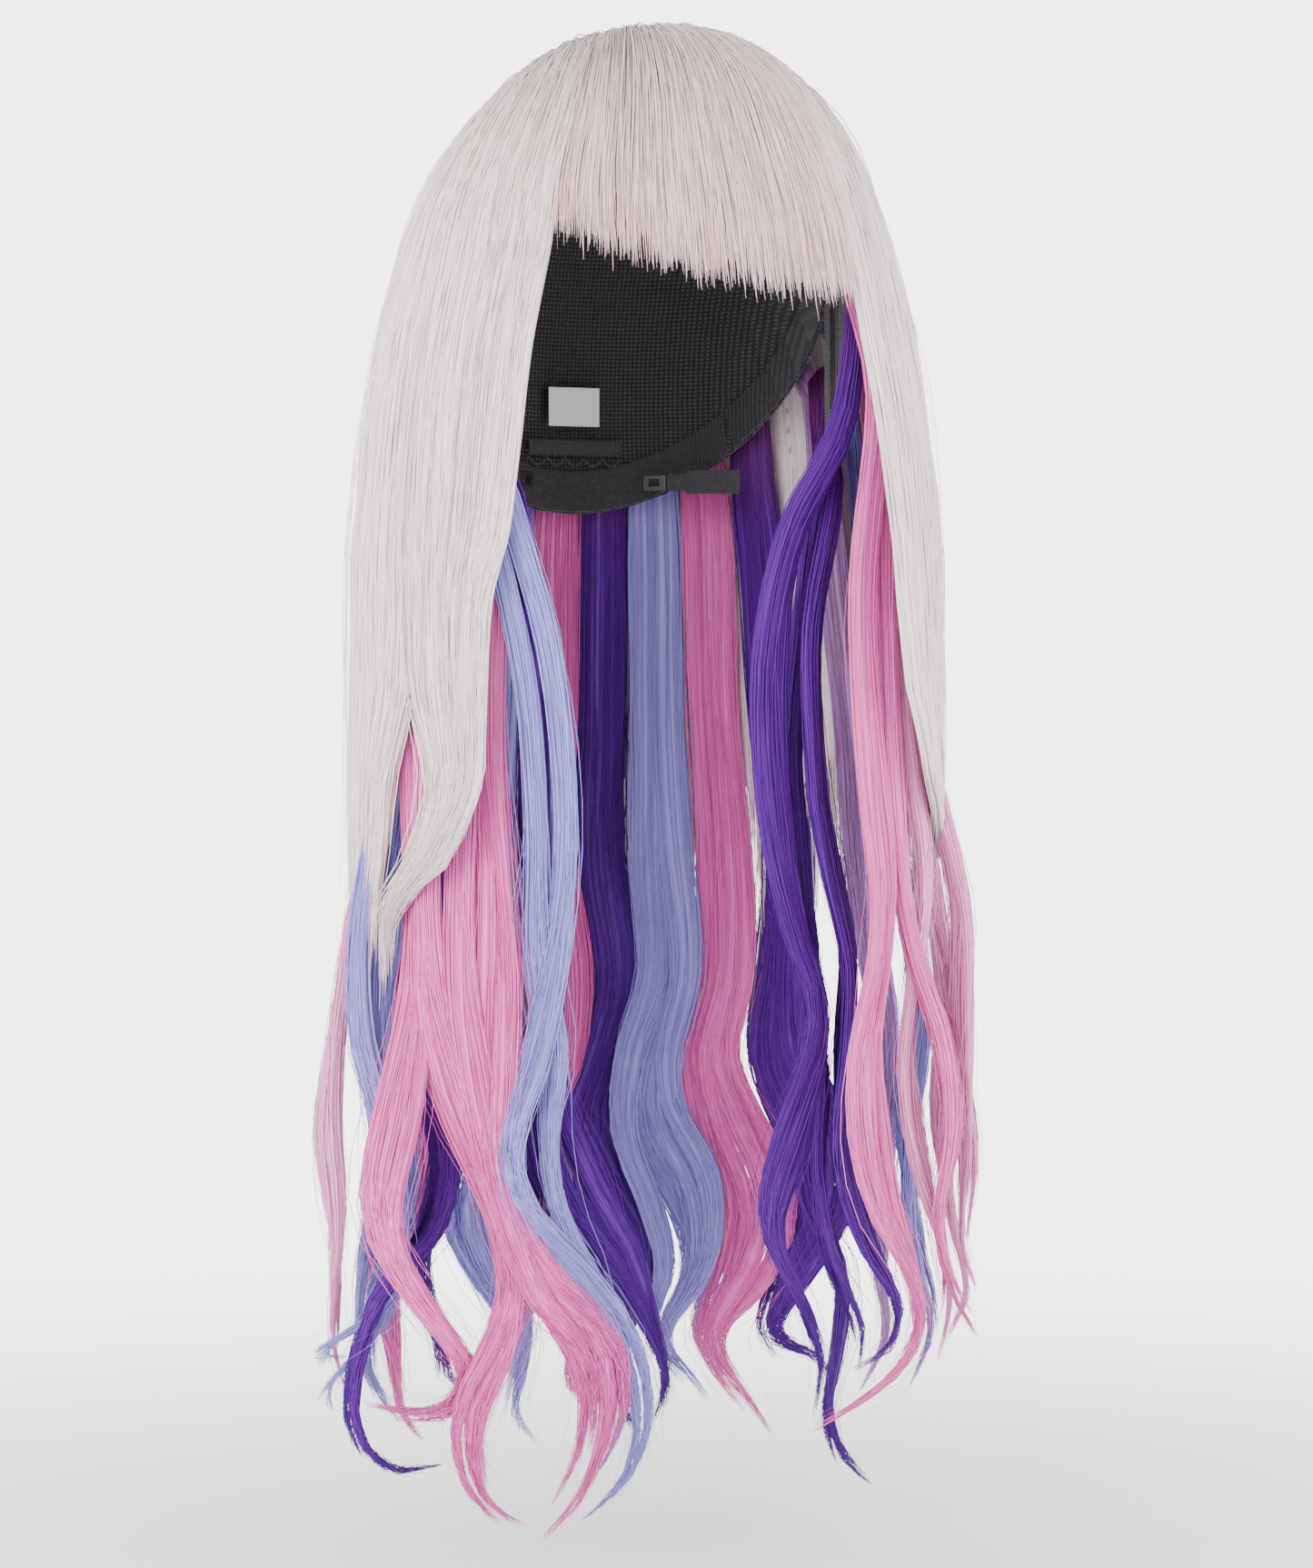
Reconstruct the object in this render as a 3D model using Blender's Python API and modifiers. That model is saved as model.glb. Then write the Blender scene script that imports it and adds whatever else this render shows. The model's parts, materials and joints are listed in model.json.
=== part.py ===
"""Long costume wig with a fringe, white outer hair and coloured under hair.

Metres, +Z up. The wearer faces -Y, and the wearer's right side is -X.
The origin is the centre of the head opening, at the height of the ear canals.
The hair solids are plain: each one is the space that a bundle of hair fills.
"""
import math

import bmesh
import bpy
from mathutils import Matrix, Vector

# The cap: half of an ellipsoid whose pole leans back, so its rim runs from
# the hairline above the forehead down to the nape.
CAP_HALF = Vector((0.077, 0.097, 0.128))
CAP_CENTRE = Vector((0.0, 0.0, 0.003))
CAP_LEAN = math.radians(30)
RIM_POLAR = math.radians(79.7)
NET_THICKNESS = 0.001
BAND_THICKNESS = 0.001
BAND_OUTSET = -0.0024
BAND_WIDTH_POLAR = math.radians(8.0)
RIB_THICKNESS = 0.0008
RIB_OUTSET = 0.001
RIB_HALF_WIDTH = math.radians(2.4)
RIB_SPREAD = math.radians(27)
WEFT_THICKNESS = 0.0012
WEFT_OUTSET = 0.0028
WEFT_HALF_WIDTH = math.radians(1.3)
WEFT_POLARS = (74.0, 61.0, 48.0, 35.0, 22.0)
SKIN_POLAR = math.radians(11.0)
SKIN_OUTSET = 0.0046
SKIN_THICKNESS = 0.0006

# Ear tabs, one in front of each ear
TAB_X = 0.067
TAB_FRONT_Y = -0.048
TAB_BACK_Y = -0.026
TAB_TOP_DROP = 0.004
TAB_BOTTOM_Z = -0.020
TAB_THICKNESS = 0.0014
TAB_CORNER = 0.004
STAY_WIDTH = 0.006
STAY_THICKNESS = 0.0006
SMALL_GAP = 0.0004

# Nape adjusters: an elastic strap slides in a sleeve and carries a hook
STRAP_START = Vector((0.058, 0.047, -0.028))
STRAP_TOWARDS = Vector((-0.84, 0.5426, 0.0))
STRAP_LENGTH = 0.030
STRAP_HEIGHT = 0.007
STRAP_THICKNESS = 0.0010
SLEEVE_LENGTH = 0.022
SLEEVE_WALL = 0.0008
SLEEVE_CLEARANCE = 0.0005
HOOK_LENGTH = 0.010
HOOK_THICKNESS = 0.0024
LOOP_COUNT = 5
LOOP_PITCH = 0.008
LOOP_DEPTH = 0.0034
LOOP_STEPS = 6
LOOP_WIRE = 0.0004
LOOP_BAR_Y = 0.0850
LOOP_Z = -0.0205
LABEL_SIZE = (0.022, 0.0006, 0.016)
LABEL_CENTRE = Vector((0.0, 0.0862, 0.004))

# Outer hair: a dome above the ears, and a ring of panels that hangs below it
DOME_HALF = Vector((0.103, 0.118, 0.145))
DOME_POWER = 2.1
CROWN_THICKNESS = 0.007
CROWN_EDGE_Z = 0.112
MANTLE_TOP_Z = 0.108
MANTLE_BOTTOM_Z = 0.003
MANTLE_ANGLE = 50.0
FRINGE_TOP_Z = 0.104
FRINGE_BOTTOM_Z = 0.040
FRINGE_ANGLE_TOP = 43.0
FRINGE_ANGLE_BOTTOM = 45.0
FRINGE_THICKNESS = 0.005
PANEL_THICKNESS = 0.005
PANEL_TOP_Z = -0.008
# Height, half width and half depth of the hanging ring's outer surface
RING = (
    (0.000, 0.108, 0.121),
    (-0.060, 0.115, 0.127),
    (-0.140, 0.116, 0.129),
    (-0.200, 0.119, 0.131),
)
# Panel name, first and last angle from the front, heights along its lower edge
PANELS = (
    ("right_white_panel", 48.0, 121.0, (-0.10, -0.15, -0.185, -0.150, -0.180, -0.165)),
    ("left_white_panel", -44.0, -121.0, (-0.10, -0.15, -0.165, -0.140, -0.170, -0.165)),
    ("back_white_panel", 124.5, 235.5, (-0.165, -0.185, -0.15, -0.19, -0.15, -0.185, -0.165)),
)

# Under hair: each lock leaves the wefts on an ellipse and hangs as a flat bundle
OUTER_ROOT_HALF = (0.0905, 0.1065)
INNER_ROOT_HALF = (0.068, 0.080)
OUTER_ROOT_Z = -0.012
INNER_ROOT_Z = -0.032
BACK_ROOT_Z = -0.012
MID_Z = -0.200
LOW_Z = -0.330
LOCK_HALF_WIDTH = 0.0066
LOCK_HALF_THICKNESS = 0.0036
BACK_LOCK_HALF_WIDTH = 0.0095
LOCK_SIDES = 6
LOCK_STATIONS = 13
LOCK_WAVE = 0.004
LOCK_WAVE_LENGTH = 0.115
# Name, colour, ring it starts on, angle from the front (wearer's right is
# positive), and where it passes: at MID_Z, at LOW_Z, and at its tip
LOCKS = (
    ("right_blue_front_lock", "blue", "outer", 51,
     (-0.052, -0.068), (-0.040, -0.070), (-0.022, -0.066, -0.428)),
    ("right_pink_front_lock", "pink", "outer", 61,
     (-0.076, -0.064), (-0.064, -0.064), (-0.044, -0.058, -0.437)),
    ("right_pink_loop_lock", "pink", "outer", 71,
     (-0.090, -0.050), (-0.080, -0.052), (-0.062, -0.046, -0.433)),
    ("right_pink_wave_lock", "pink", "outer", 82,
     (-0.100, -0.034), (-0.102, -0.036), (-0.088, -0.030, -0.402)),
    ("right_blue_outer_lock", "blue", "outer", 94,
     (-0.104, 0.000), (-0.116, -0.004), (-0.124, 0.002, -0.378)),
    ("right_rose_outer_lock", "rose", "outer", 107,
     (-0.101, 0.034), (-0.116, 0.030), (-0.120, 0.034, -0.400)),
    ("right_purple_inner_lock", "purple", "inner", 56,
     (-0.052, -0.040), (-0.036, -0.042), (-0.008, -0.036, -0.404)),
    ("right_lilac_inner_lock", "lilac", "inner", 80,
     (-0.072, -0.024), (-0.066, -0.022), (-0.056, -0.016, -0.415)),
    ("right_purple_hook_lock", "purple", "inner", 106,
     (-0.082, 0.006), (-0.092, 0.000), (-0.096, 0.006, -0.420)),
    ("left_pink_front_lock", "pink", "outer", -51,
     (0.070, -0.074), (0.070, -0.074), (0.058, -0.070, -0.405)),
    ("left_pink_middle_lock", "pink", "outer", -61,
     (0.084, -0.060), (0.092, -0.064), (0.098, -0.062, -0.380)),
    ("left_rose_front_lock", "rose", "outer", -71,
     (0.094, -0.045), (0.110, -0.050), (0.120, -0.050, -0.372)),
    ("left_rose_outer_lock", "rose", "outer", -82,
     (0.101, -0.026), (0.120, -0.028), (0.125, -0.026, -0.366)),
    ("left_blue_outer_lock", "blue", "outer", -94,
     (0.104, 0.004), (0.121, 0.002), (0.124, 0.006, -0.395)),
    ("left_lilac_outer_lock", "lilac", "outer", -107,
     (0.101, 0.036), (0.116, 0.034), (0.118, 0.038, -0.400)),
    ("left_purple_inner_lock", "purple", "inner", -56,
     (0.046, -0.038), (0.036, -0.044), (0.052, -0.040, -0.405)),
    ("left_purple_middle_lock", "purple", "inner", -80,
     (0.062, -0.030), (0.062, -0.034), (0.080, -0.030, -0.392)),
    ("left_purple_tail_lock", "purple", "inner", -106,
     (0.074, -0.004), (0.088, -0.006), (0.090, -0.004, -0.434)),
    ("back_blue_right_lock", "blue", "back", 129,
     (-0.082, 0.070), (-0.088, 0.076), (-0.092, 0.078, -0.415)),
    ("back_pink_right_lock", "pink", "back", 142,
     (-0.064, 0.088), (-0.069, 0.095), (-0.072, 0.097, -0.425)),
    ("back_purple_right_lock", "purple", "back", 155,
     (-0.044, 0.100), (-0.047, 0.108), (-0.050, 0.110, -0.410)),
    ("back_blue_middle_lock", "blue", "back", 168,
     (-0.022, 0.108), (-0.023, 0.116), (-0.025, 0.118, -0.430)),
    ("back_pink_middle_lock", "pink", "back", 180,
     (0.000, 0.110), (0.001, 0.118), (0.000, 0.120, -0.418)),
    ("back_purple_middle_lock", "purple", "back", 192,
     (0.022, 0.108), (0.024, 0.116), (0.025, 0.118, -0.432)),
    ("back_blue_left_lock", "blue", "back", 205,
     (0.044, 0.100), (0.048, 0.108), (0.050, 0.110, -0.412)),
    ("back_pink_left_lock", "pink", "back", 218,
     (0.064, 0.088), (0.070, 0.095), (0.073, 0.097, -0.426)),
    ("back_purple_left_lock", "purple", "back", 231,
     (0.082, 0.070), (0.089, 0.076), (0.092, 0.078, -0.405)),
)

# Colour, roughness and metallic of each material
MATERIALS = {
    "white": ((0.62, 0.58, 0.60), 0.42, 0.0),
    "pink": ((0.66, 0.28, 0.47), 0.42, 0.0),
    "rose": ((0.70, 0.42, 0.55), 0.42, 0.0),
    "blue": ((0.25, 0.38, 0.72), 0.42, 0.0),
    "lilac": ((0.42, 0.34, 0.62), 0.42, 0.0),
    "purple": ((0.10, 0.02, 0.28), 0.42, 0.0),
    "black_net": ((0.015, 0.014, 0.016), 0.8, 0.0),
    "black_elastic": ((0.02, 0.019, 0.021), 0.75, 0.0),
    "scalp": ((0.60, 0.45, 0.38), 0.6, 0.0),
    "steel": ((0.55, 0.55, 0.56), 0.3, 1.0),
    "hook_plastic": ((0.02, 0.02, 0.02), 0.35, 0.0),
    "label": ((0.75, 0.74, 0.72), 0.7, 0.0),
}


def clear_scene():
    for thing in list(bpy.data.objects):
        bpy.data.objects.remove(thing, do_unlink=True)


def make_collection(name):
    group = bpy.data.collections.new(name)
    bpy.context.scene.collection.children.link(group)
    return group


def make_material(name, colour, roughness, metallic):
    material = bpy.data.materials.new(name)
    material.use_nodes = True
    shader = material.node_tree.nodes["Principled BSDF"]
    shader.inputs["Base Color"].default_value = (*colour, 1.0)
    shader.inputs["Roughness"].default_value = roughness
    shader.inputs["Metallic"].default_value = metallic
    return material


def add_part(name, mesh_data, slot):
    """Wrap a bmesh as a part of the wig, with its own copy of a material."""
    mesh = bpy.data.meshes.new(name)
    mesh_data.to_mesh(mesh)
    mesh_data.free()
    mesh.materials.append(make_material(name, *MATERIALS[slot]))
    mesh.shade_smooth()
    part = bpy.data.objects.new(name, mesh)
    parts.objects.link(part)
    return part


def mapped_grid(columns, rows, place):
    """A grid whose point (u, v) in the unit square goes to place(u, v).

    Edges and ends that meet after the move are welded.
    """
    surface = bmesh.new()
    bmesh.ops.create_grid(surface, x_segments=columns, y_segments=rows, size=0.5)
    for vertex in surface.verts:
        vertex.co = place(vertex.co.x + 0.5, vertex.co.y + 0.5)
    bmesh.ops.remove_doubles(surface, verts=surface.verts, dist=1e-6)
    return surface


def add_sheet(name, columns, rows, place, thickness, slot):
    """A shell of even thickness about the surface that place describes."""
    sheet = add_part(name, mapped_grid(columns, rows, place), slot)
    solidify = sheet.modifiers.new("thickness", "SOLIDIFY")
    solidify.thickness = thickness
    solidify.offset = 0.0
    return sheet


def add_closed(name, columns, rows, place, slot):
    """A closed body whose grid wraps round and closes at both ends."""
    body = mapped_grid(columns, rows, place)
    if body.calc_volume(signed=True) < 0:
        bmesh.ops.reverse_faces(body, faces=body.faces)
    return add_part(name, body, slot)


def mix(first, last, share):
    return first + (last - first) * share


def cap_point(direction, outset):
    """The cap's surface in a direction given about its own pole."""
    lean_back = Matrix.Rotation(-CAP_LEAN, 3, "X")
    turned = lean_back @ direction
    grown = CAP_HALF + Vector((outset, outset, outset))
    return CAP_CENTRE + Vector(a * b for a, b in zip(turned, grown))


def cap_latitude(around, polar, outset):
    """A cap point by its angle round the pole (0 is +X) and from the pole."""
    direction = Vector((
        math.sin(polar) * math.cos(around),
        math.sin(polar) * math.sin(around),
        math.cos(polar),
    ))
    return cap_point(direction, outset)


def cap_strip(sideways, along, outset):
    """A cap point by its angle to one side and its angle from front to back."""
    direction = Vector((
        math.sin(sideways),
        math.cos(sideways) * math.sin(along),
        math.cos(sideways) * math.cos(along),
    ))
    return cap_point(direction, outset)


def add_cap_net():
    def place(u, v):
        return cap_latitude(2 * math.pi * u, RIM_POLAR * v, -NET_THICKNESS / 2)
    add_sheet("cap_net", 36, 10, place, NET_THICKNESS, "black_net")


def add_rib(name, sideways):
    """An elastic rib over the net, from the front rim to the nape."""
    reach = math.acos(math.cos(RIM_POLAR - 0.01) / math.cos(sideways))

    def place(u, v):
        side = sideways + mix(-RIB_HALF_WIDTH, RIB_HALF_WIDTH, u)
        return cap_strip(side, mix(-reach, reach, v), RIB_OUTSET)
    add_sheet(name, 1, 24, place, RIB_THICKNESS, "black_elastic")


def add_band(name, first, last, segments):
    """A binding inside the rim, between two angles round the pole."""
    def place(u, v):
        around = math.radians(mix(first, last, u))
        polar = RIM_POLAR - BAND_WIDTH_POLAR * v
        return cap_latitude(around, polar, BAND_OUTSET)
    add_sheet(name, segments, 2, place, BAND_THICKNESS, "black_elastic")


def add_weft(name, polar_degrees):
    """A sewn track of hair round the sides and back of the cap."""
    first, last = (-24.0, 204.0)

    def place(u, v):
        around = math.radians(mix(first, last, u))
        polar = math.radians(polar_degrees) + mix(-WEFT_HALF_WIDTH, WEFT_HALF_WIDTH, v)
        return cap_latitude(around, polar, WEFT_OUTSET)
    add_sheet(name, 28, 1, place, WEFT_THICKNESS, "black_elastic")


def add_crown_skin():
    """The scalp patch at the whorl, straight above the head's centre."""
    top_along = -CAP_LEAN

    def place(u, v):
        angle = 2 * math.pi * u
        side = SKIN_POLAR * v * math.cos(angle)
        along = top_along + SKIN_POLAR * v * math.sin(angle)
        return cap_strip(side, along, SKIN_OUTSET)
    add_sheet("crown_skin", 20, 2, place, SKIN_THICKNESS, "scalp")


def rim_height(y):
    """Height of the cap's rim plane above a point at depth y."""
    front = cap_latitude(math.radians(270), RIM_POLAR, 0.0)
    back = cap_latitude(math.radians(90), RIM_POLAR, 0.0)
    return mix(front.z, back.z, (y - front.y) / (back.y - front.y))


def extruded_outline(name, outline, thickness, slot):
    """A flat piece from an outline in its own XY plane."""
    curve = bpy.data.curves.new(name, "CURVE")
    curve.dimensions = "2D"
    curve.fill_mode = "BOTH"
    curve.extrude = thickness / 2
    spline = curve.splines.new("POLY")
    spline.points.add(len(outline) - 1)
    for point, (a, b) in zip(spline.points, outline):
        point.co = (a, b, 0.0, 1.0)
    spline.use_cyclic_u = True
    piece = bpy.data.objects.new(name, curve)
    curve.materials.append(make_material(name, *MATERIALS[slot]))
    parts.objects.link(piece)
    return piece


def corner_arc(centre, radius, first, last, steps=4):
    points = []
    for step in range(steps + 1):
        angle = math.radians(mix(first, last, step / steps))
        points.append((centre[0] + radius * math.cos(angle), centre[1] + radius * math.sin(angle)))
    return points


def add_ear_tab(side_name, side):
    """A fabric tab below the rim, and the metal stay sewn on its inner face."""
    top = (
        (TAB_BACK_Y, rim_height(TAB_BACK_Y) - TAB_TOP_DROP),
        (TAB_FRONT_Y, rim_height(TAB_FRONT_Y) - TAB_TOP_DROP),
    )
    low_front = (TAB_FRONT_Y + TAB_CORNER, TAB_BOTTOM_Z + TAB_CORNER)
    low_back = (TAB_BACK_Y - TAB_CORNER, TAB_BOTTOM_Z + TAB_CORNER)
    outline = list(top)
    outline += corner_arc(low_front, TAB_CORNER, 180, 270)
    outline += corner_arc(low_back, TAB_CORNER, 270, 360)
    upright = Matrix(((0, 0, 1), (1, 0, 0), (0, 1, 0))).to_4x4()
    tab = extruded_outline(side_name + "_ear_tab", outline, TAB_THICKNESS, "black_elastic")
    tab.matrix_world = Matrix.Translation((side * TAB_X, 0, 0)) @ upright

    middle = (TAB_FRONT_Y + TAB_BACK_Y) / 2
    half = STAY_WIDTH / 2
    stay_top = rim_height(middle + half) - TAB_TOP_DROP - 0.006
    round_low = (middle, TAB_BOTTOM_Z + 0.006 + half)
    stay_outline = [(middle + half, stay_top), (middle - half, stay_top)]
    stay_outline += corner_arc(round_low, half, 180, 360, 8)
    stay = extruded_outline(side_name + "_tab_stay", stay_outline, STAY_THICKNESS, "steel")
    inner = TAB_X - TAB_THICKNESS / 2 - SMALL_GAP - STAY_THICKNESS / 2
    stay.matrix_world = Matrix.Translation((side * inner, 0, 0)) @ upright


def add_box(name, size, slot, bevel=0.0):
    box = bmesh.new()
    bmesh.ops.create_cube(box, size=1.0)
    bmesh.ops.scale(box, vec=size, verts=box.verts)
    part = add_part(name, box, slot)
    if bevel:
        rounding = part.modifiers.new("rounding", "BEVEL")
        rounding.width = bevel
        rounding.segments = 2
    return part


def strap_frame(side, distance):
    """A place along the strap's line, with X along it and Z up."""
    along = Vector((STRAP_TOWARDS.x * side, STRAP_TOWARDS.y, 0.0)).normalized()
    start = Vector((STRAP_START.x * side, STRAP_START.y, STRAP_START.z))
    turn = Matrix.Rotation(math.atan2(along.y, along.x), 4, "Z")
    return Matrix.Translation(start + along * distance) @ turn


def cut_through(part, cutter_size, placed):
    """Cut a straight tunnel through a part with a hidden box."""
    cutter = bmesh.new()
    bmesh.ops.create_cube(cutter, size=1.0)
    bmesh.ops.scale(cutter, vec=cutter_size, verts=cutter.verts)
    mesh = bpy.data.meshes.new(part.name + "_cutter")
    cutter.to_mesh(mesh)
    cutter.free()
    tool = bpy.data.objects.new(part.name + "_cutter", mesh)
    tool.matrix_world = placed
    tool.hide_render = True
    tool.display_type = "WIRE"
    cutters.objects.link(tool)
    cut = part.modifiers.new("tunnel", "BOOLEAN")
    cut.object = tool
    cut.operation = "DIFFERENCE"
    cut.solver = "EXACT"


def add_adjuster(side_name, side):
    """The sleeve sewn to the cap, the strap that slides in it, and its hook."""
    sleeve_size = (
        SLEEVE_LENGTH,
        STRAP_THICKNESS + 2 * (SLEEVE_CLEARANCE + SLEEVE_WALL),
        STRAP_HEIGHT + 2 * (SLEEVE_CLEARANCE + SLEEVE_WALL),
    )
    sleeve = add_box(side_name + "_strap_sleeve", sleeve_size, "black_elastic")
    sleeve.matrix_world = strap_frame(side, SLEEVE_LENGTH / 2)
    tunnel = (
        SLEEVE_LENGTH * 1.2,
        STRAP_THICKNESS + 2 * SLEEVE_CLEARANCE,
        STRAP_HEIGHT + 2 * SLEEVE_CLEARANCE,
    )
    cut_through(sleeve, tunnel, strap_frame(side, SLEEVE_LENGTH / 2))

    strap = add_box(side_name + "_strap", (STRAP_LENGTH, STRAP_THICKNESS, STRAP_HEIGHT), "black_elastic")
    strap.matrix_world = strap_frame(side, STRAP_LENGTH / 2)

    hook = add_box(
        side_name + "_hook", (HOOK_LENGTH, HOOK_THICKNESS, STRAP_HEIGHT), "hook_plastic", bevel=0.0006)
    hook_at = STRAP_LENGTH + SMALL_GAP + HOOK_LENGTH / 2
    hook.matrix_world = strap_frame(side, hook_at)
    slot_size = (HOOK_LENGTH * 0.45, HOOK_THICKNESS * 2, STRAP_HEIGHT * 0.45)
    cut_through(hook, slot_size, strap_frame(side, hook_at))


def add_nape_loops():
    """A tape inside the nape, and the scalloped thread that gives it its loops."""
    row = bmesh.new()
    bmesh.ops.create_cube(row, size=1.0)
    bmesh.ops.scale(row, vec=(LOOP_COUNT * LOOP_PITCH, 0.0008, 0.006), verts=row.verts)
    tape = add_part("nape_loop_tape", row, "black_elastic")
    tape.location = (0.0, LOOP_BAR_Y, LOOP_Z + 0.0075)

    wire = bpy.data.curves.new("nape_loops", "CURVE")
    wire.dimensions = "3D"
    wire.bevel_depth = LOOP_WIRE
    wire.bevel_resolution = 1
    wire.use_fill_caps = True
    steps = LOOP_COUNT * LOOP_STEPS
    spline = wire.splines.new("POLY")
    spline.points.add(steps)
    for step, point in enumerate(spline.points):
        share = step / steps
        x = (share - 0.5) * LOOP_COUNT * LOOP_PITCH
        hang = LOOP_DEPTH * abs(math.sin(math.pi * LOOP_COUNT * share))
        point.co = (x, LOOP_BAR_Y, LOOP_Z + LOOP_DEPTH - hang, 1.0)
    wire.materials.append(make_material("nape_loops", *MATERIALS["hook_plastic"]))
    parts.objects.link(bpy.data.objects.new("nape_loops", wire))


def dome_point(angle_degrees, fall, inset):
    """The crown's surface: angle from the front, and fall from its top."""
    bend = 2.0 / DOME_POWER
    reach = math.sin(fall) ** bend
    height = max(math.cos(fall), 0.0) ** bend
    angle = math.radians(angle_degrees)
    return Vector((
        -(DOME_HALF.x - inset) * reach * math.sin(angle),
        -(DOME_HALF.y - inset) * reach * math.cos(angle),
        (DOME_HALF.z - inset) * height,
    ))


def fall_to(height, inset):
    """The fall at which the crown's surface reaches a height."""
    return math.acos((height / (DOME_HALF.z - inset)) ** (DOME_POWER / 2.0))


def add_crown_hair():
    """The closed top of the wig, above the fringe and the sides."""
    inset = CROWN_THICKNESS / 2
    last = fall_to(CROWN_EDGE_Z, inset)

    def place(u, v):
        return dome_point(mix(-180.0, 180.0, u), last * v, inset)
    add_sheet("crown_hair", 28, 4, place, CROWN_THICKNESS, "white")


def add_mantle_hair():
    """The hair round the sides and back, open at the face."""
    inset = CROWN_THICKNESS / 2
    first = fall_to(MANTLE_TOP_Z, inset)
    last = fall_to(MANTLE_BOTTOM_Z, inset)

    def place(u, v):
        angle = mix(MANTLE_ANGLE, 360.0 - MANTLE_ANGLE, u)
        return dome_point(angle, mix(first, last, v), inset)
    add_sheet("mantle_hair", 24, 5, place, CROWN_THICKNESS, "white")


def add_fringe():
    inset = FRINGE_THICKNESS / 2 + 0.001
    first = fall_to(FRINGE_TOP_Z, inset)
    last = fall_to(FRINGE_BOTTOM_Z, inset)

    def place(u, v):
        half_angle = mix(FRINGE_ANGLE_TOP, FRINGE_ANGLE_BOTTOM, v)
        return dome_point(mix(-half_angle, half_angle, u), mix(first, last, v), inset)
    add_sheet("fringe", 12, 4, place, FRINGE_THICKNESS, "white")


def between(stations, value):
    """Read a list of numbers at evenly spaced places from 0 to 1."""
    place = min(max(value, 0.0), 1.0) * (len(stations) - 1)
    index = min(int(place), len(stations) - 2)
    return mix(stations[index], stations[index + 1], place - index)


def ring_half(z):
    """Half width and half depth of the hanging hair's outer surface."""
    for (top, wide, deep), (bottom, next_wide, next_deep) in zip(RING, RING[1:]):
        if z >= bottom:
            share = (top - z) / (top - bottom)
            return mix(wide, next_wide, share), mix(deep, next_deep, share)
    return RING[-1][1:]


def add_panel(name, first, last, lower_edge):
    inset = PANEL_THICKNESS / 2

    def place(u, v):
        z = mix(PANEL_TOP_Z, between(lower_edge, u), v)
        wide, deep = ring_half(z)
        angle = math.radians(mix(first, last, u))
        x = -(wide - inset) * math.sin(angle)
        y = -(deep - inset) * math.cos(angle)
        return Vector((x, y, z))
    add_sheet(name, 10, 5, place, PANEL_THICKNESS, "white")


def smooth_route(points, share):
    """A Catmull-Rom curve through the points, read at a share of its way."""
    spans = len(points) - 1
    place = min(share * spans, spans - 1e-9)
    index = int(place)
    t = place - index
    before = points[max(index - 1, 0)]
    start, end = points[index], points[index + 1]
    after = points[min(index + 2, spans)]
    return 0.5 * (
        2 * start + (end - before) * t
        + (2 * before - 5 * start + 4 * end - after) * t ** 2
        + (3 * start - before - 3 * end + after) * t ** 3
    )


def root_of(ring, angle_degrees):
    """Where a lock leaves the wefts."""
    half = INNER_ROOT_HALF if ring == "inner" else OUTER_ROOT_HALF
    height = {"outer": OUTER_ROOT_Z, "inner": INNER_ROOT_Z, "back": BACK_ROOT_Z}[ring]
    angle = math.radians(angle_degrees)
    return Vector((-half[0] * math.sin(angle), -half[1] * math.cos(angle), height))


def lock_centre(points, share):
    """The lock's route, with a loose wave that grows towards the tip."""
    centre = smooth_route(points, share)
    outward = Vector((centre.x, centre.y, 0.0)).normalized()
    growth = min(max((MID_Z - centre.z) / (MID_Z - LOW_Z), 0.0), 1.0)
    wave = LOCK_WAVE * growth * math.sin(2 * math.pi * centre.z / LOCK_WAVE_LENGTH)
    return centre + outward * wave, outward


def lock_size(share):
    """How full the lock is along its length: even, then narrowing to a point."""
    if share <= 0.75:
        return 1.0
    return 1.0 - 0.75 * (share - 0.75) / 0.25


def add_lock(name, slot, ring, angle, middle, low, tip):
    points = [
        root_of(ring, angle),
        Vector((*middle, MID_Z)),
        Vector((*low, LOW_Z)),
        Vector(tip),
    ]
    half_width = BACK_LOCK_HALF_WIDTH if ring == "back" else LOCK_HALF_WIDTH
    rows = LOCK_STATIONS + 1

    def place(u, v):
        row = round(v * rows)
        share = min(max((row - 1) / (rows - 2), 0.0), 1.0)
        centre, outward = lock_centre(points, share)
        full = 0.0 if row in (0, rows) else lock_size(share)
        across = Vector((-outward.y, outward.x, 0.0))
        angle_round = 2 * math.pi * u
        return (
            centre
            + across * half_width * full * math.cos(angle_round)
            + outward * LOCK_HALF_THICKNESS * full * math.sin(angle_round)
        )
    add_closed(name, LOCK_SIDES, rows, place, slot)


def add_label():
    label = add_box("cap_label", LABEL_SIZE, "label")
    label.location = LABEL_CENTRE


clear_scene()
parts = make_collection("costume_wig")
cutters = make_collection("cutters")

add_cap_net()
add_rib("centre_rib", 0.0)
add_rib("right_rib", -RIB_SPREAD)
add_rib("left_rib", RIB_SPREAD)
add_band("front_band", 222.0, 318.0, 10)
add_band("nape_band", 38.0, 142.0, 10)
add_band("right_side_band", 144.0, 220.0, 8)
add_band("left_side_band", -40.0, 36.0, 8)
for number, polar_degrees in enumerate(WEFT_POLARS, start=1):
    add_weft(f"weft_row_{number}", polar_degrees)
add_crown_skin()
for side_name, side in (("right", -1), ("left", 1)):
    add_ear_tab(side_name, side)
    add_adjuster(side_name, side)
add_nape_loops()
add_label()
add_crown_hair()
add_mantle_hair()
add_fringe()
for name, first, last, lower_edge in PANELS:
    add_panel(name, first, last, lower_edge)
for lock in LOCKS:
    add_lock(*lock)
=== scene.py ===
"""The looks of a long costume wig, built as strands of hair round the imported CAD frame."""
import json
import math

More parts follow.
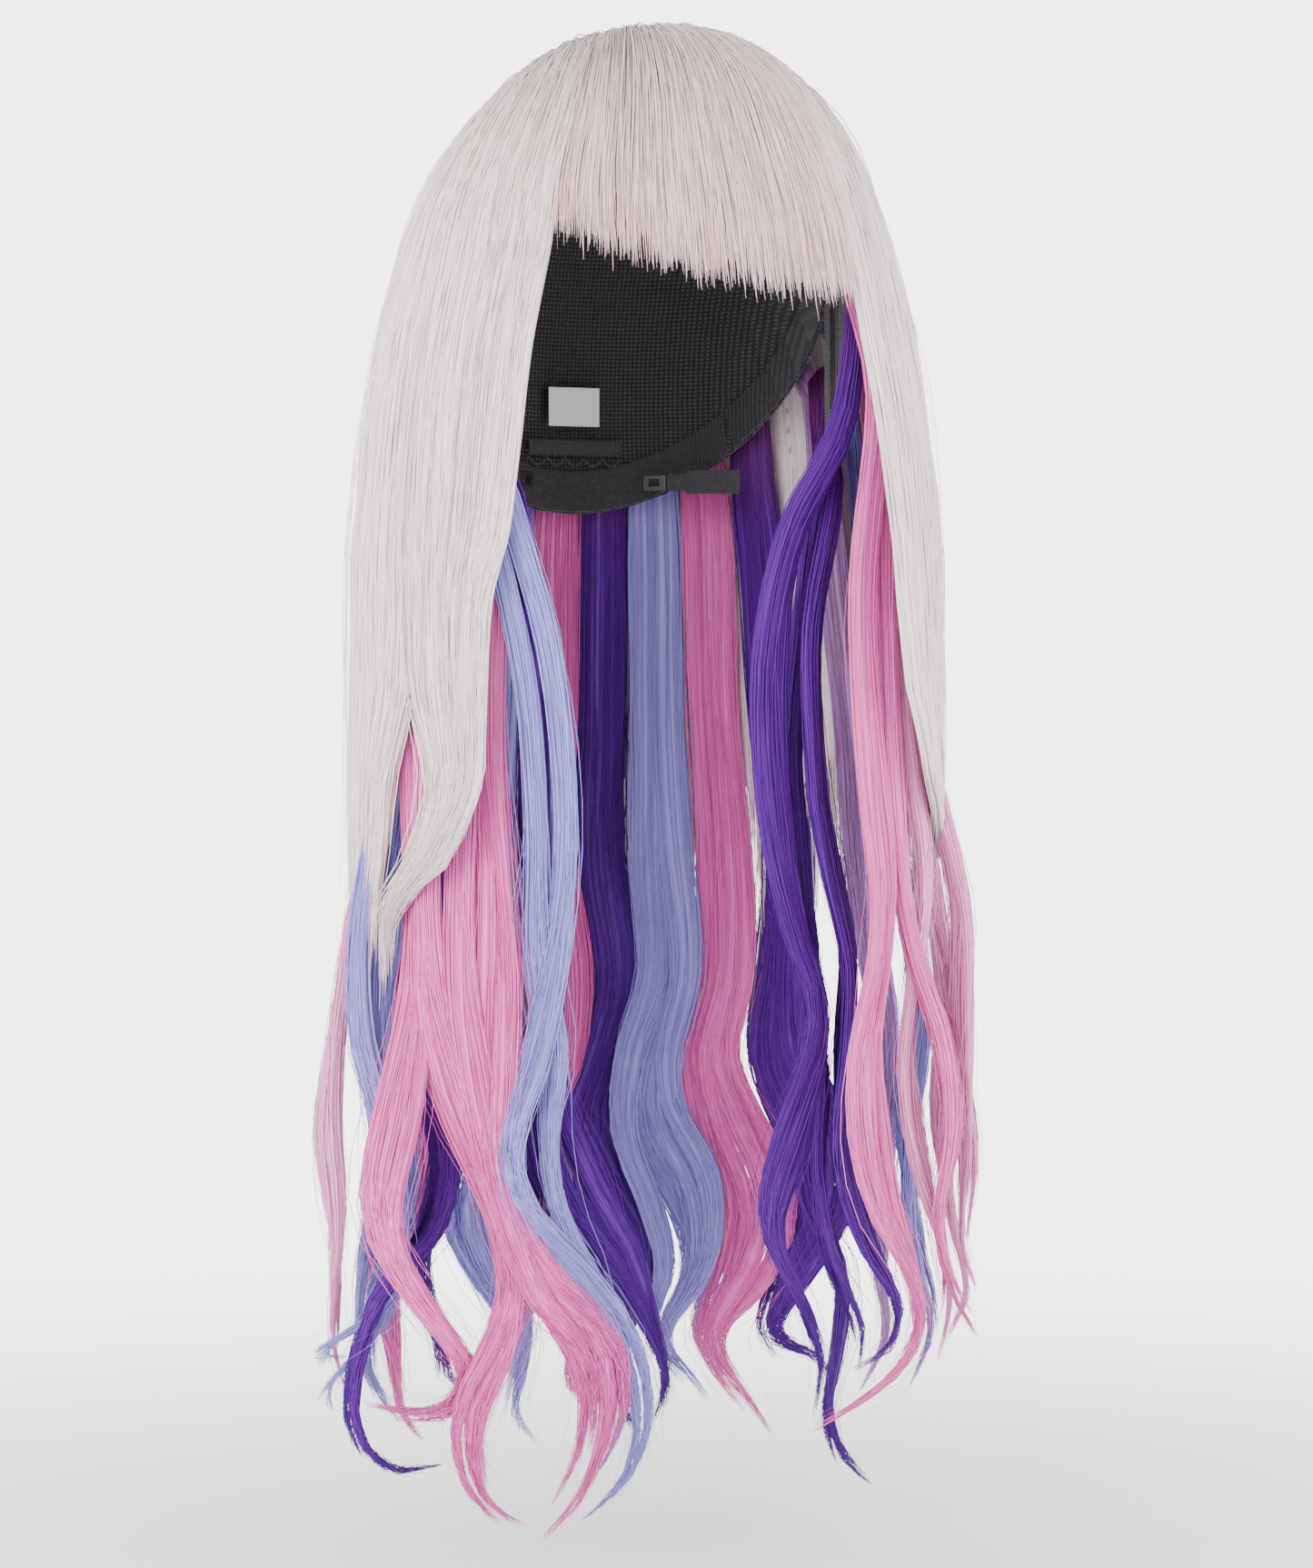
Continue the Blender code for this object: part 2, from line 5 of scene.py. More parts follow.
import bmesh
import bpy
import numpy as np
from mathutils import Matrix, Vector


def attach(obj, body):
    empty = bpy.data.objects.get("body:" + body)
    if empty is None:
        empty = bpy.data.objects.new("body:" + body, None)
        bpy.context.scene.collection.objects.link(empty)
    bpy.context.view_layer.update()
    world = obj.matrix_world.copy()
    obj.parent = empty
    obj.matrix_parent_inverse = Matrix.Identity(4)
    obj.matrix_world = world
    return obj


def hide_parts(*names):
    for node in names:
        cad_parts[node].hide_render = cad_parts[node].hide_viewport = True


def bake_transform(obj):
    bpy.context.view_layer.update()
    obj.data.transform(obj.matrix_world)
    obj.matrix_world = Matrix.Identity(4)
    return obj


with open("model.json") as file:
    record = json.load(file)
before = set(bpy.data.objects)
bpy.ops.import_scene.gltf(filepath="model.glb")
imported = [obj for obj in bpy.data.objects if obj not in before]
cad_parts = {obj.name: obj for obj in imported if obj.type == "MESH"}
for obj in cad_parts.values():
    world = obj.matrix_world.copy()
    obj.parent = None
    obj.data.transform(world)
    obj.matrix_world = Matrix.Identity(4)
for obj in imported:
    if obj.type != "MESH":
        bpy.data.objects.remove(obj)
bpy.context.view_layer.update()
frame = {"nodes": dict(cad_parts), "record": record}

# View: the camera looks level from the wearer's right front
VIEW_AZIMUTH = math.radians(-20)
VIEW_DISTANCE = 1.8
VIEW_HEIGHT = -0.152
VIEW_ACROSS = 0.0047
VIEW_FRAME_HEIGHT = 0.621

# The cap, as the CAD frame has it
CAP_HALF = np.array((0.077, 0.097, 0.128))
CAP_CENTRE_Z = 0.003
RIM_FRONT_Z = 0.0858
RIM_FRONT_Y = -0.074
RIM_SLOPE = -0.7618

# The outer hair's surface, and how far behind its summit the hair's whorl lies
WHORL_BACK = 0.032
WHORL_REACH = 0.105
DOME_HALF = np.array((0.103, 0.118, 0.145))
DOME_POWER = 2.1
DOME_END_Z = 0.05
APEX_FORWARD = 0.014
RING = (
    (0.030, 0.1025, 0.1165),
    (0.010, 0.1065, 0.1195),
    (-0.010, 0.1095, 0.1220),
    (-0.060, 0.1145, 0.1265),
    (-0.140, 0.1150, 0.1285),
    (-0.200, 0.1160, 0.1300),
    (-0.260, 0.1180, 0.1310),
)

# The UV layout has one column for each shade that a strand can have. V runs from root to tip.
COLOUR_COLUMNS = 64
BAKE_LAYER = "OFBake"

# Strands of hair are tubes with this many sides, and routes are cut into this many samples
STRAND_SIDES = 3
ROUTE_SAMPLES = 96
STRAND_RADIUS = 0.00036
FINE_STRAND_RADIUS = 0.00027
STRAY_THINNING = 0.5

# Depth below the outer hair of the sheets sewn to the cap: outer and inner face
CROWN_BASE_DEPTHS = (0.0058, 0.0074)

# Radiance of the backdrop round the horizon and of the rest of the sky
BACKDROP_GLOW = 4.5
SKY_GLOW = 0.7
FLOOR_Z = -0.452
FLOOR_RADIUS = 9.0

# Linear colours: root, shade, body and light of each hair colour
HAIR = {
    "white": ((0.57, 0.52, 0.47), (0.64, 0.51, 0.52), (0.83, 0.71, 0.72), (0.94, 0.85, 0.86)),
    "fringe": ((0.66, 0.59, 0.56), (0.64, 0.44, 0.46), (0.81, 0.60, 0.62), (0.91, 0.74, 0.76)),
    "pink": ((0.42, 0.05, 0.22), (0.50, 0.055, 0.25), (0.75, 0.125, 0.43), (0.88, 0.25, 0.59)),
    "rose": ((0.44, 0.10, 0.28), (0.62, 0.16, 0.38), (0.80, 0.27, 0.54), (0.90, 0.42, 0.68)),
    "blue": ((0.38, 0.20, 0.50), (0.16, 0.14, 0.46), (0.27, 0.24, 0.63), (0.39, 0.35, 0.78)),
    "lilac": ((0.34, 0.12, 0.34), (0.34, 0.15, 0.42), (0.50, 0.25, 0.57), (0.64, 0.38, 0.70)),
    "purple": ((0.19, 0.022, 0.11), (0.030, 0.0012, 0.10), (0.080, 0.0055, 0.235), (0.155, 0.015, 0.38)),
}


def smooth_step(low, high, value):
    t = np.clip((value - low) / (high - low), 0.0, 1.0)
    return t * t * (3 - 2 * t)


# ---------------------------------------------------------------- materials

def new_material(name):
    material = bpy.data.materials.new(name)
    material.use_nodes = True
    nodes = material.node_tree.nodes
    return material, nodes, material.node_tree.links, nodes["Principled BSDF"]


def add_ramp(nodes, stops):
    ramp = nodes.new("ShaderNodeValToRGB")
    ramp.color_ramp.interpolation = "EASE"
    elements = ramp.color_ramp.elements
    while len(elements) < len(stops):
        elements.new(0.5)
    for element, (place, colour) in zip(elements, stops):
        element.position = place
        element.color = (*colour, 1.0)
    return ramp


def add_math(nodes, links, operation, first, second):
    node = nodes.new("ShaderNodeMath")
    node.operation = operation
    links.new(first, node.inputs[0])
    if isinstance(second, (int, float)):
        node.inputs[1].default_value = second
    else:
        links.new(second, node.inputs[1])
    return node.outputs[0]


def add_mix(nodes, links, share, first, second):
    node = nodes.new("ShaderNodeMix")
    node.data_type = "RGBA"
    for socket, value in ((node.inputs[0], share), (node.inputs[6], first), (node.inputs[7], second)):
        if hasattr(value, "is_linked"):
            links.new(value, socket)
        else:
            socket.default_value = value
    return node.outputs[2]


def add_bump(nodes, links, shader, height, strength, distance):
    bump = nodes.new("ShaderNodeBump")
    bump.inputs["Strength"].default_value = strength
    bump.inputs["Distance"].default_value = distance
    links.new(height, bump.inputs["Height"])
    links.new(bump.outputs[0], shader.inputs["Normal"])


def add_roughness(nodes, links, shader, value, low, high):
    """Roughness between low and high, by a value from 0 to 1."""
    gloss = nodes.new("ShaderNodeMapRange")
    gloss.inputs["To Min"].default_value = low
    gloss.inputs["To Max"].default_value = high
    links.new(value, gloss.inputs["Value"])
    links.new(gloss.outputs[0], shader.inputs["Roughness"])


def blend_colours(first, second, share):
    return tuple(a + (b - a) * share for a, b in zip(first, second))


def hair_layout(nodes):
    layout = nodes.new("ShaderNodeUVMap")
    layout.uv_map = BAKE_LAYER
    return layout.outputs[0]


def hair_material(name, tone, root_reach=0.16):
    """Satin synthetic hair. Each column of the layout is one shade; V runs from root to tip."""
    root, shade, body, light = HAIR[tone]
    material, nodes, links, shader = new_material(name)
    split = nodes.new("ShaderNodeSeparateXYZ")
    links.new(hair_layout(nodes), split.inputs[0])
    column = add_math(nodes, links, "FLOOR",
                      add_math(nodes, links, "MULTIPLY", split.outputs[0], COLOUR_COLUMNS), 0.0)
    own = nodes.new("ShaderNodeTexWhiteNoise")
    own.noise_dimensions = "1D"
    links.new(column, own.inputs["W"])
    streak = nodes.new("ShaderNodeTexNoise")
    streak.noise_dimensions = "2D"
    place = nodes.new("ShaderNodeCombineXYZ")
    links.new(add_math(nodes, links, "MULTIPLY", column, 7.3), place.inputs[0])
    links.new(add_math(nodes, links, "MULTIPLY", split.outputs[1], 6.0), place.inputs[1])
    links.new(place.outputs[0], streak.inputs["Vector"])
    streak.inputs["Scale"].default_value = 1.0
    streak.inputs["Detail"].default_value = 3.0
    mixed = add_math(nodes, links, "ADD",
                     add_math(nodes, links, "MULTIPLY", own.outputs["Value"], 0.62),
                     add_math(nodes, links, "MULTIPLY", streak.outputs["Fac"], 0.38))
    shade, light = blend_colours(body, shade, 0.70), blend_colours(body, light, 0.75)
    ramp = add_ramp(nodes, ((0.10, shade), (0.5, body), (0.92, light)))
    links.new(mixed, ramp.inputs[0])
    fade = nodes.new("ShaderNodeMapRange")
    fade.inputs["From Min"].default_value = 0.0
    fade.inputs["From Max"].default_value = root_reach
    fade.inputs["To Min"].default_value = 0.75
    fade.inputs["To Max"].default_value = 0.0
    links.new(split.outputs[1], fade.inputs["Value"])
    colour = add_mix(nodes, links, fade.outputs[0], ramp.outputs[0], (*root, 1.0))
    links.new(colour, shader.inputs["Base Color"])
    add_roughness(nodes, links, shader, own.outputs["Value"], 0.40, 0.56)
    add_bump(nodes, links, shader, streak.outputs["Fac"], 0.25, 0.0003)
    shader.inputs["Specular IOR Level"].default_value = 0.26
    return material


def layer_material(name, tone):
    """Dense combed hair seen as a surface: fine streaks that run from root to tip."""
    _, shade, body, light = HAIR[tone]
    material, nodes, links, shader = new_material(name)
    stretch = nodes.new("ShaderNodeMapping")
    stretch.inputs["Scale"].default_value = (150.0, 2.6, 1.0)
    links.new(hair_layout(nodes), stretch.inputs["Vector"])
    streak = nodes.new("ShaderNodeTexNoise")
    streak.noise_dimensions = "2D"
    streak.inputs["Scale"].default_value = 1.0
    streak.inputs["Detail"].default_value = 4.0
    links.new(stretch.outputs[0], streak.inputs["Vector"])
    ramp = add_ramp(nodes, ((0.30, shade), (0.50, body), (0.72, light)))
    links.new(streak.outputs["Fac"], ramp.inputs[0])
    links.new(ramp.outputs[0], shader.inputs["Base Color"])
    add_bump(nodes, links, shader, streak.outputs["Fac"], 0.6, 0.0005)
    add_roughness(nodes, links, shader, streak.outputs["Fac"], 0.44, 0.60)
    shader.inputs["Specular IOR Level"].default_value = 0.26
    return material


# ------------------------------------------------------------ strand meshes

def tube_rings(paths, across_radii, lift_radii, sides):
    """Cross sections round each path (strand, step, xyz), flat side to the head."""
    tangent = np.gradient(paths, axis=1)
    tangent /= np.linalg.norm(tangent, axis=2, keepdims=True) + 1e-12
    outward = paths * (1, 1, 0)
    outward /= np.linalg.norm(outward, axis=2, keepdims=True) + 1e-9
    across = np.cross(tangent, outward)
    across /= np.linalg.norm(across, axis=2, keepdims=True) + 1e-9
    lift = np.cross(across, tangent)
    angles = 2 * math.pi * (np.arange(sides) / sides) + math.pi / 2
    return (
        paths[:, :, None, :]
        + (across_radii[:, :, None] * np.cos(angles))[..., None] * across[:, :, None, :]
        + (lift_radii[:, :, None] * np.sin(angles))[..., None] * lift[:, :, None, :]
    )


def tube_part(rings, left, right):
    """Side and end faces of closed tubes; left and right are each side's span in U."""
    count, steps, sides, _ = rings.shape
    base = (np.arange(count)[:, None, None] * steps + np.arange(steps - 1)[None, :, None]) * sides
    side = np.arange(sides)[None, None, :]
    after = (side + 1) % sides
    quads = np.stack((base + side, base + after, base + sides + after, base + sides + side), axis=-1)
    quads = quads.reshape(-1, 4)
    start = np.arange(count)[:, None] * steps * sides
    caps = np.concatenate((
        start + np.arange(sides)[None, ::-1],
        start + (steps - 1) * sides + np.arange(sides)[None, :],
    ))
    shape = (count, steps - 1, sides)
    left, right = np.broadcast_to(left, shape), np.broadcast_to(right, shape)
    low = np.broadcast_to((np.arange(steps - 1) / (steps - 1))[None, :, None], shape)
    high = low + 1 / (steps - 1)
    quad_uv = np.stack((left, low, right, low, right, high, left, high), axis=-1)
    middle = (left[:, 0, 0] + right[:, 0, 0]) / 2
    turn = 2 * math.pi * np.arange(sides) / sides
    cap_uv = np.empty((2 * count, sides, 2))
    cap_uv[:, :, 0] = np.concatenate((middle, middle))[:, None] + 0.2 / COLOUR_COLUMNS * np.cos(turn)
    cap_uv[:, :, 1] = np.repeat((0.012, 0.988), count)[:, None] + 0.008 * np.sin(turn)
    return rings.reshape(-1, 3), quads, caps, quad_uv.ravel(), cap_uv.ravel()


def build_tubes(name, parts, material):
    """One mesh from several tube parts."""
    points, corners, sizes, coordinates, offset = [], [], [], [], 0
    for vertices, quads, caps, quad_uv, cap_uv in parts:
        points.append(vertices)
        corners += [(quads + offset).ravel(), (caps + offset).ravel()]
        sizes += [np.full(len(quads), 4), np.full(len(caps), caps.shape[1])]
        coordinates += [quad_uv, cap_uv]
        offset += len(vertices)
    points, corners = np.vstack(points), np.concatenate(corners)
    sizes = np.concatenate(sizes)
    mesh = bpy.data.meshes.new(name)
    mesh.vertices.add(len(points))
    mesh.vertices.foreach_set("co", points.astype(np.float32).ravel())
    mesh.loops.add(len(corners))
    mesh.loops.foreach_set("vertex_index", corners.astype(np.int32))
    mesh.polygons.add(len(sizes))
    mesh.polygons.foreach_set("loop_start", np.concatenate(((0,), np.cumsum(sizes)[:-1])).astype(np.int32))
    mesh.polygons.foreach_set("use_smooth", np.ones(len(sizes), bool))
    mesh.update(calc_edges=True)
    layer = mesh.uv_layers.new(name=BAKE_LAYER)
    layer.data.foreach_set("uv", np.concatenate(coordinates).astype(np.float32))
    mesh.materials.append(material)
    mesh.validate()
    piece = bpy.data.objects.new(name, mesh)
    bpy.context.scene.collection.objects.link(piece)
    return piece


def strand_part(paths, radii, rng):
    """Thin strands, each in one shade column of the layout."""
    column = rng.integers(0, COLOUR_COLUMNS, len(paths))[:, None, None] / COLOUR_COLUMNS
    rings = tube_rings(paths, radii, radii, STRAND_SIDES)
    return tube_part(rings, column + 0.1 / COLOUR_COLUMNS, column + 0.9 / COLOUR_COLUMNS)


def core_part(path, across_radius, lift_radius, sides=12):
    """The dense middle of a ribbon, striped by every shade column."""
    rings = tube_rings(path[None], across_radius[None], lift_radius[None], sides)
    side = np.arange(sides)[None, None, :] / sides
    return tube_part(rings, side, side + 1 / sides)


def smooth_noise(rng, count, along, waves, reach):
    """Slow random wander for each strand: a few sine waves with random phases."""
    total = np.zeros((count, along.shape[-1]))
    for wave in range(1, waves + 1):
        phase = rng.uniform(0, 2 * math.pi, (count, 1))
        size = rng.normal(0, 1, (count, 1)) / wave
        total += size * np.sin(2 * math.pi * wave * 0.7 * along + phase)
    return total * reach


# --------------------------------------------------------------- white hair

def outer_profile():
    """The outer surface from the crown down: half width, half depth, height, length so far."""
    bend = 2 / DOME_POWER
    last = math.acos((DOME_END_Z / DOME_HALF[2]) ** (DOME_POWER / 2))
    fall = np.linspace(math.radians(2.5), last, 60)
    wide = DOME_HALF[0] * np.sin(fall) ** bend
    deep = DOME_HALF[1] * np.sin(fall) ** bend
    high = DOME_HALF[2] * np.cos(fall) ** bend
    ring = np.array(RING)
    stations_z = np.concatenate((high, ring[:, 0]))
    stations_a = np.concatenate((wide, ring[:, 1]))
    stations_b = np.concatenate((deep, ring[:, 2]))
    z = np.concatenate((high, np.arange(DOME_END_Z - 0.002, RING[-1][0], -0.002)))
    a = np.interp(-z, -stations_z, stations_a)
    b = np.interp(-z, -stations_z, stations_b)
    window = np.ones(9) / 9
    for values in (a, b):
        padded = np.pad(values, 4, mode="edge")
        smoothed = np.convolve(padded, window, mode="valid")
        below = slice(len(high) - 8, len(values))
        values[below] = smoothed[below]
    length = np.concatenate(((0,), np.cumsum(np.hypot(np.diff((a + b) / 2), np.diff(z)))))
    return a, b, z, length


PROFILE = outer_profile()


def dome_height(x, y):
    reach = np.hypot(x / DOME_HALF[0], (y + APEX_FORWARD) / DOME_HALF[1])
    return DOME_HALF[2] * np.maximum(1 - np.minimum(reach, 0.97) ** DOME_POWER, 0.0) ** (1 / DOME_POWER)


def on_outer_surface(angle, length, inset):
    """Points on the outer hair at angles from the front (wearer's right positive), in radians."""
    a, b, z, lengths = PROFILE
    height = np.interp(length, lengths, z)
    wide = np.maximum(np.interp(length, lengths, a) - inset, 0.002)
    deep = np.maximum(np.interp(length, lengths, b) - inset, 0.002)
    x = -wide * np.sin(angle)
    y = -deep * np.cos(angle) - APEX_FORWARD * smooth_step(0.07, 0.145, height)
    height = height - inset * smooth_step(0.05, 0.13, height)
    moved = y + WHORL_BACK * (1 - smooth_step(0.0, WHORL_REACH, length))
    height = height + dome_height(x, moved) - dome_height(x, y)
    return np.stack(np.broadcast_arrays(x, moved, height), axis=-1)


def length_at(height):
    """How far down the outer surface a height lies."""
    return np.interp(-np.asarray(height), -PROFILE[2], PROFILE[3])


class Sector:
    """A part of the outer hair between two edges, each an angle from the front by height."""

    def __init__(self, name, body, node, heights, front, rear, tip_shares, tip_heights,
                 ragged=0.006, gather=0.0, gather_width=21.0, short=0.016, thinning=0.014):
        self.name, self.body, self.node = name, body, node
        self.heights, self.front, self.rear = np.array(heights), front, rear
        self.tip_shares, self.tip_heights = tip_shares, tip_heights
        self.ragged, self.gather, self.gather_width = ragged, gather, gather_width
        self.short, self.thinning = short, thinning

    def angle(self, share, height):
        """The angle at a share of the way from the front edge to the rear edge."""
        first = np.interp(-height, -self.heights, self.front)
        last = np.interp(-height, -self.heights, self.rear)
        angle = first + share * (last - first)
        if self.gather:
            wide = self.gather_width
            nearest = (np.round(angle / wide + 0.18 * np.sin(np.round(angle / wide) * 2.3))) * wide
            angle = angle + (nearest - angle) * self.gather * smooth_step(0.06, 0.20, -height)
        return angle

    def end(self, share):
        return length_at(np.interp(share, self.tip_shares, self.tip_heights))


def sector_strands(sector, tone, count, seed, depth=0.0038, steps=26, radius=STRAND_RADIUS, stray=0.04):
    """Fine hair from the crown over the outer surface to the sector's lower edge."""
    rng = np.random.default_rng(seed)
    share = rng.uniform(0, 1, count)[:, None]
    inset = depth * rng.beta(1.0, 1.7, count)[:, None]
    ends = sector.end(share[:, 0]) + sector.thinning * 0.55
    ends += rng.normal(0, sector.ragged, count) - rng.exponential(sector.thinning, count)
    starts = np.where(rng.uniform(0, 1, count) < 0.55,
                      rng.uniform(0.0, 0.012, count), rng.uniform(0.0, 0.09, count))
    along = np.linspace(0, 1, steps)[None, :]
    length = starts[:, None] + (ends - starts)[:, None] * along
    height = np.interp(length, PROFILE[3], PROFILE[2])
    angle = np.radians(sector.angle(share, height))
    angle += smooth_noise(rng, count, length / 0.14, 3, 0.007) * smooth_step(0.0, 0.08, length)
    loose = smooth_noise(rng, count, length / 0.12, 3, 0.0006)
    strays = (rng.uniform(0, 1, count) < stray)[:, None]
    loose += strays * rng.uniform(0.001, 0.004, (count, 1)) * smooth_step(0.05, 0.25, length)
    rising = 0.0030 * (1 - smooth_step(0.0, 0.035, length))
    paths = on_outer_surface(angle, length, inset + rising - loose)
    taper = np.minimum(1.0, 0.4 + 8 * along) * np.clip((1.03 - along) / 0.16, 0.15, 1.0)
    size = radius * rng.uniform(0.7, 1.3, (count, 1))
    size = np.where(strays, size * STRAY_THINNING, size)
    name = sector.name + "_strands"
    material = hair_material(name, tone, root_reach=0.9 if tone == "fringe" else 0.35)
    return build_tubes(name, [strand_part(paths, size * taper, rng)], material)


def sector_under_layer(sector, tone, inset=0.0040, thick=0.0014, columns=34, rows=44):
    """The dense hair just below the strands, as a thin closed sheet."""
    share = np.linspace(0.012, 0.988, columns)[:, None]
    along = np.linspace(0, 1, rows)[None, :]
    jag = 0.008 * np.sin(share * 61) + 0.006 * np.sin(share * 143 + 1)
    length = 0.001 + (sector.end(share[:, 0])[:, None] - sector.short + jag - 0.001) * along
    height = np.interp(length, PROFILE[3], PROFILE[2])
    angle = np.radians(sector.angle(share, height))
    thin = 1 - 0.8 * smooth_step(0.8, 1.0, along)
    outer = on_outer_surface(angle, length, inset + 0 * length)
    inner = on_outer_surface(angle, length, inset + thick * thin)
    return sheet(sector.name + "_under_layer", np.stack((outer, inner), axis=2),
                 layer_material(sector.name + "_under_layer", tone))


def blend_at_hinge(piece):
    """Bakes the piece's placement into its mesh."""
    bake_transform(piece)


def blend_at_fringe(piece):
    """Bakes the fringe piece's placement into its mesh."""
    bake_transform(piece)


CURTAIN_HEIGHTS = (0.051, 0.015, -0.021, -0.057, -0.085, -0.115, -0.151, -0.165, -0.183, -0.200)
BACK_SPANS = ((122, 162), (160, 200), (198, 238))


def white_sectors():
    """The white layer's sectors. The right side has a swept front flap and an outer flap."""
    right_front = Sector(
        "right_front_white", "right_hair", "right_white_panel", CURTAIN_HEIGHTS,
        (44, 46, 47, 48.5, 53, 53.5, 54, 57, 62, 78), (76, 76, 76, 75, 74, 72.5, 66, 68, 73, 82),
        (0, 0.3, 0.7, 1), (-0.188, -0.198, -0.203, -0.206),
        ragged=0.007, short=0.050, thinning=0.030)
    right_outer = Sector(
        "right_outer_white", "right_hair", "right_white_panel", CURTAIN_HEIGHTS,
        (72, 72, 72, 72, 72, 72.5, 80, 80.5, 82, 84), (124, 124, 124, 124, 124, 124, 122, 121, 119, 117),
        (0, 0.2, 0.5, 0.8, 1), (-0.204, -0.198, -0.186, -0.176, -0.180),
        ragged=0.007, short=0.036, thinning=0.018)
    left = Sector(
        "left_white", "left_hair", "left_white_panel", CURTAIN_HEIGHTS,
        (-31, -31.5, -34, -36, -38, -41, -52, -62, -74, -84),
        (-80, -80, -80, -80, -80, -80, -82, -84, -88, -92),
        (0, 0.4, 0.75, 1), (-0.178, -0.184, -0.188, -0.184),
        ragged=0.007, short=0.038, thinning=0.018)
    left_rear = Sector(
        "left_rear_white", "left_hair", "left_white_panel", CURTAIN_HEIGHTS,
        (-78,) * 10, (-124, -124, -124, -124, -124, -124, -123, -122, -120, -118),
        (0, 0.3, 0.6, 1), (-0.186, -0.178, -0.170, -0.182), ragged=0.010, gather=0.25, gather_width=17,
        short=0.026)
    sectors = [right_front, right_outer, left, left_rear]
    for letter, (first, last) in zip("abc", BACK_SPANS):
        sectors.append(Sector(
            "back_white_" + letter, "back_hair", "back_white_panel", CURTAIN_HEIGHTS,
            (first,) * 10, (last,) * 10,
            (0, 0.2, 0.42, 0.6, 0.8, 1), (-0.186, -0.172, -0.196, -0.178, -0.200, -0.186),
            ragged=0.012, gather=0.26, gather_width=13.0 if letter == "b" else 16.5, short=0.030))
    return sectors


def make_white_hair():
    for index, sector in enumerate(white_sectors()):
        layers = (
            sector_strands(sector, "white", 1150, 11 + index),
            sector_under_layer(sector, "white"),
        )
        for piece in layers:
            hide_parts(sector.node)
            blend_at_hinge(piece)
    fringe = Sector(
        "fringe_white", "fringe_hair", "fringe", (0.14, 0.10, 0.07, 0.03),
        (-38, -40, -42, -41), (46, 46, 45, 43),
        (0, 0.2, 0.42, 0.58, 0.68, 0.82, 1), (0.037, 0.035, 0.035, 0.038, 0.042, 0.048, 0.059),
        ragged=0.003, short=0.021, thinning=0.006)
    layers = (
        sector_strands(fringe, "fringe", 1500, 31, depth=0.003, steps=20,
                       radius=FINE_STRAND_RADIUS, stray=0.05),
        sector_under_layer(fringe, "fringe", inset=0.0032),
    )
    for piece in layers:
        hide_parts("fringe")
        blend_at_fringe(piece)


def make_crown_base():
    """The short hair sewn to the cap itself, as two thin closed sheets."""
    material = layer_material("crown_base_hair", "white")
    for name, node, bottom, first, last in (
        ("crown_base", "crown_hair", float(length_at(0.098)), -180, 180),
        ("mantle_base", "mantle_hair", float(length_at(0.012)), 52, 308),
    ):
        angle = np.radians(np.linspace(first, last, 96))[:, None]
        length = np.linspace(0.001, bottom, 30)[None, :]
        faces = [on_outer_surface(angle, length, np.full((1, 30), depth)) for depth in CROWN_BASE_DEPTHS]
        piece = sheet(name, np.stack(faces, axis=2), material)
        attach(piece, "cap")
        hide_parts(node)


def sheet(name, points, material):
    """A closed sheet from a grid (column, row, outer or inner, xyz)."""
    columns, rows = points.shape[:2]

    def at(column, row, layer):
        return (column * rows + row) * 2 + layer

    faces = []
    for c in range(columns - 1):
        for r in range(rows - 1):
            faces.append((at(c, r, 0), at(c, r + 1, 0), at(c + 1, r + 1, 0), at(c + 1, r, 0)))
            faces.append((at(c, r, 1), at(c + 1, r, 1), at(c + 1, r + 1, 1), at(c, r + 1, 1)))
    for c in range(columns - 1):
        for r, flip in ((0, False), (rows - 1, True)):
            rim = (at(c, r, 0), at(c + 1, r, 0), at(c + 1, r, 1), at(c, r, 1))
            faces.append(rim[::-1] if flip else rim)
    for r in range(rows - 1):
        for c, flip in ((0, True), (columns - 1, False)):
            rim = (at(c, r, 0), at(c, r + 1, 0), at(c, r + 1, 1), at(c, r, 1))
            faces.append(rim[::-1] if flip else rim)
    mesh = bpy.data.meshes.new(name)
    mesh.from_pydata(points.reshape(-1, 3).tolist(), [], faces)
    shell = bmesh.new()
    shell.from_mesh(mesh)
    bmesh.ops.recalc_face_normals(shell, faces=shell.faces)
    shell.to_mesh(mesh)
    shell.free()
    layer = mesh.uv_layers.new(name=BAKE_LAYER)
    lookup = np.empty((columns, rows, 2, 2))
    lookup[..., 0] = (np.arange(columns) / (columns - 1))[:, None, None]
    lookup[..., 1] = (np.arange(rows) / (rows - 1))[None, :, None]
    corners = np.empty(len(mesh.loops), np.int32)
    mesh.loops.foreach_get("vertex_index", corners)
    layer.data.foreach_set("uv", lookup.reshape(-1, 2)[corners].astype(np.float32).ravel())
    mesh.shade_smooth()
    mesh.materials.append(material)
    piece = bpy.data.objects.new(name, mesh)
    bpy.context.scene.collection.objects.link(piece)
    return piece


# ------------------------------------------------------------- colour locks

def rim_height(y):
    return RIM_FRONT_Z + RIM_SLOPE * (y - RIM_FRONT_Y)


def cap_point(angle_degrees, height, outset):
    """A point just outside the cap at an angle from the front."""
    angle = math.radians(angle_degrees)
    share = (height - CAP_CENTRE_Z) / (CAP_HALF[2] + outset)
    reach = math.sqrt(max(1 - share * share, 0.0))
    return (
        -(CAP_HALF[0] + outset) * reach * math.sin(angle),
        -(CAP_HALF[1] + outset) * reach * math.cos(angle),
        height,
    )


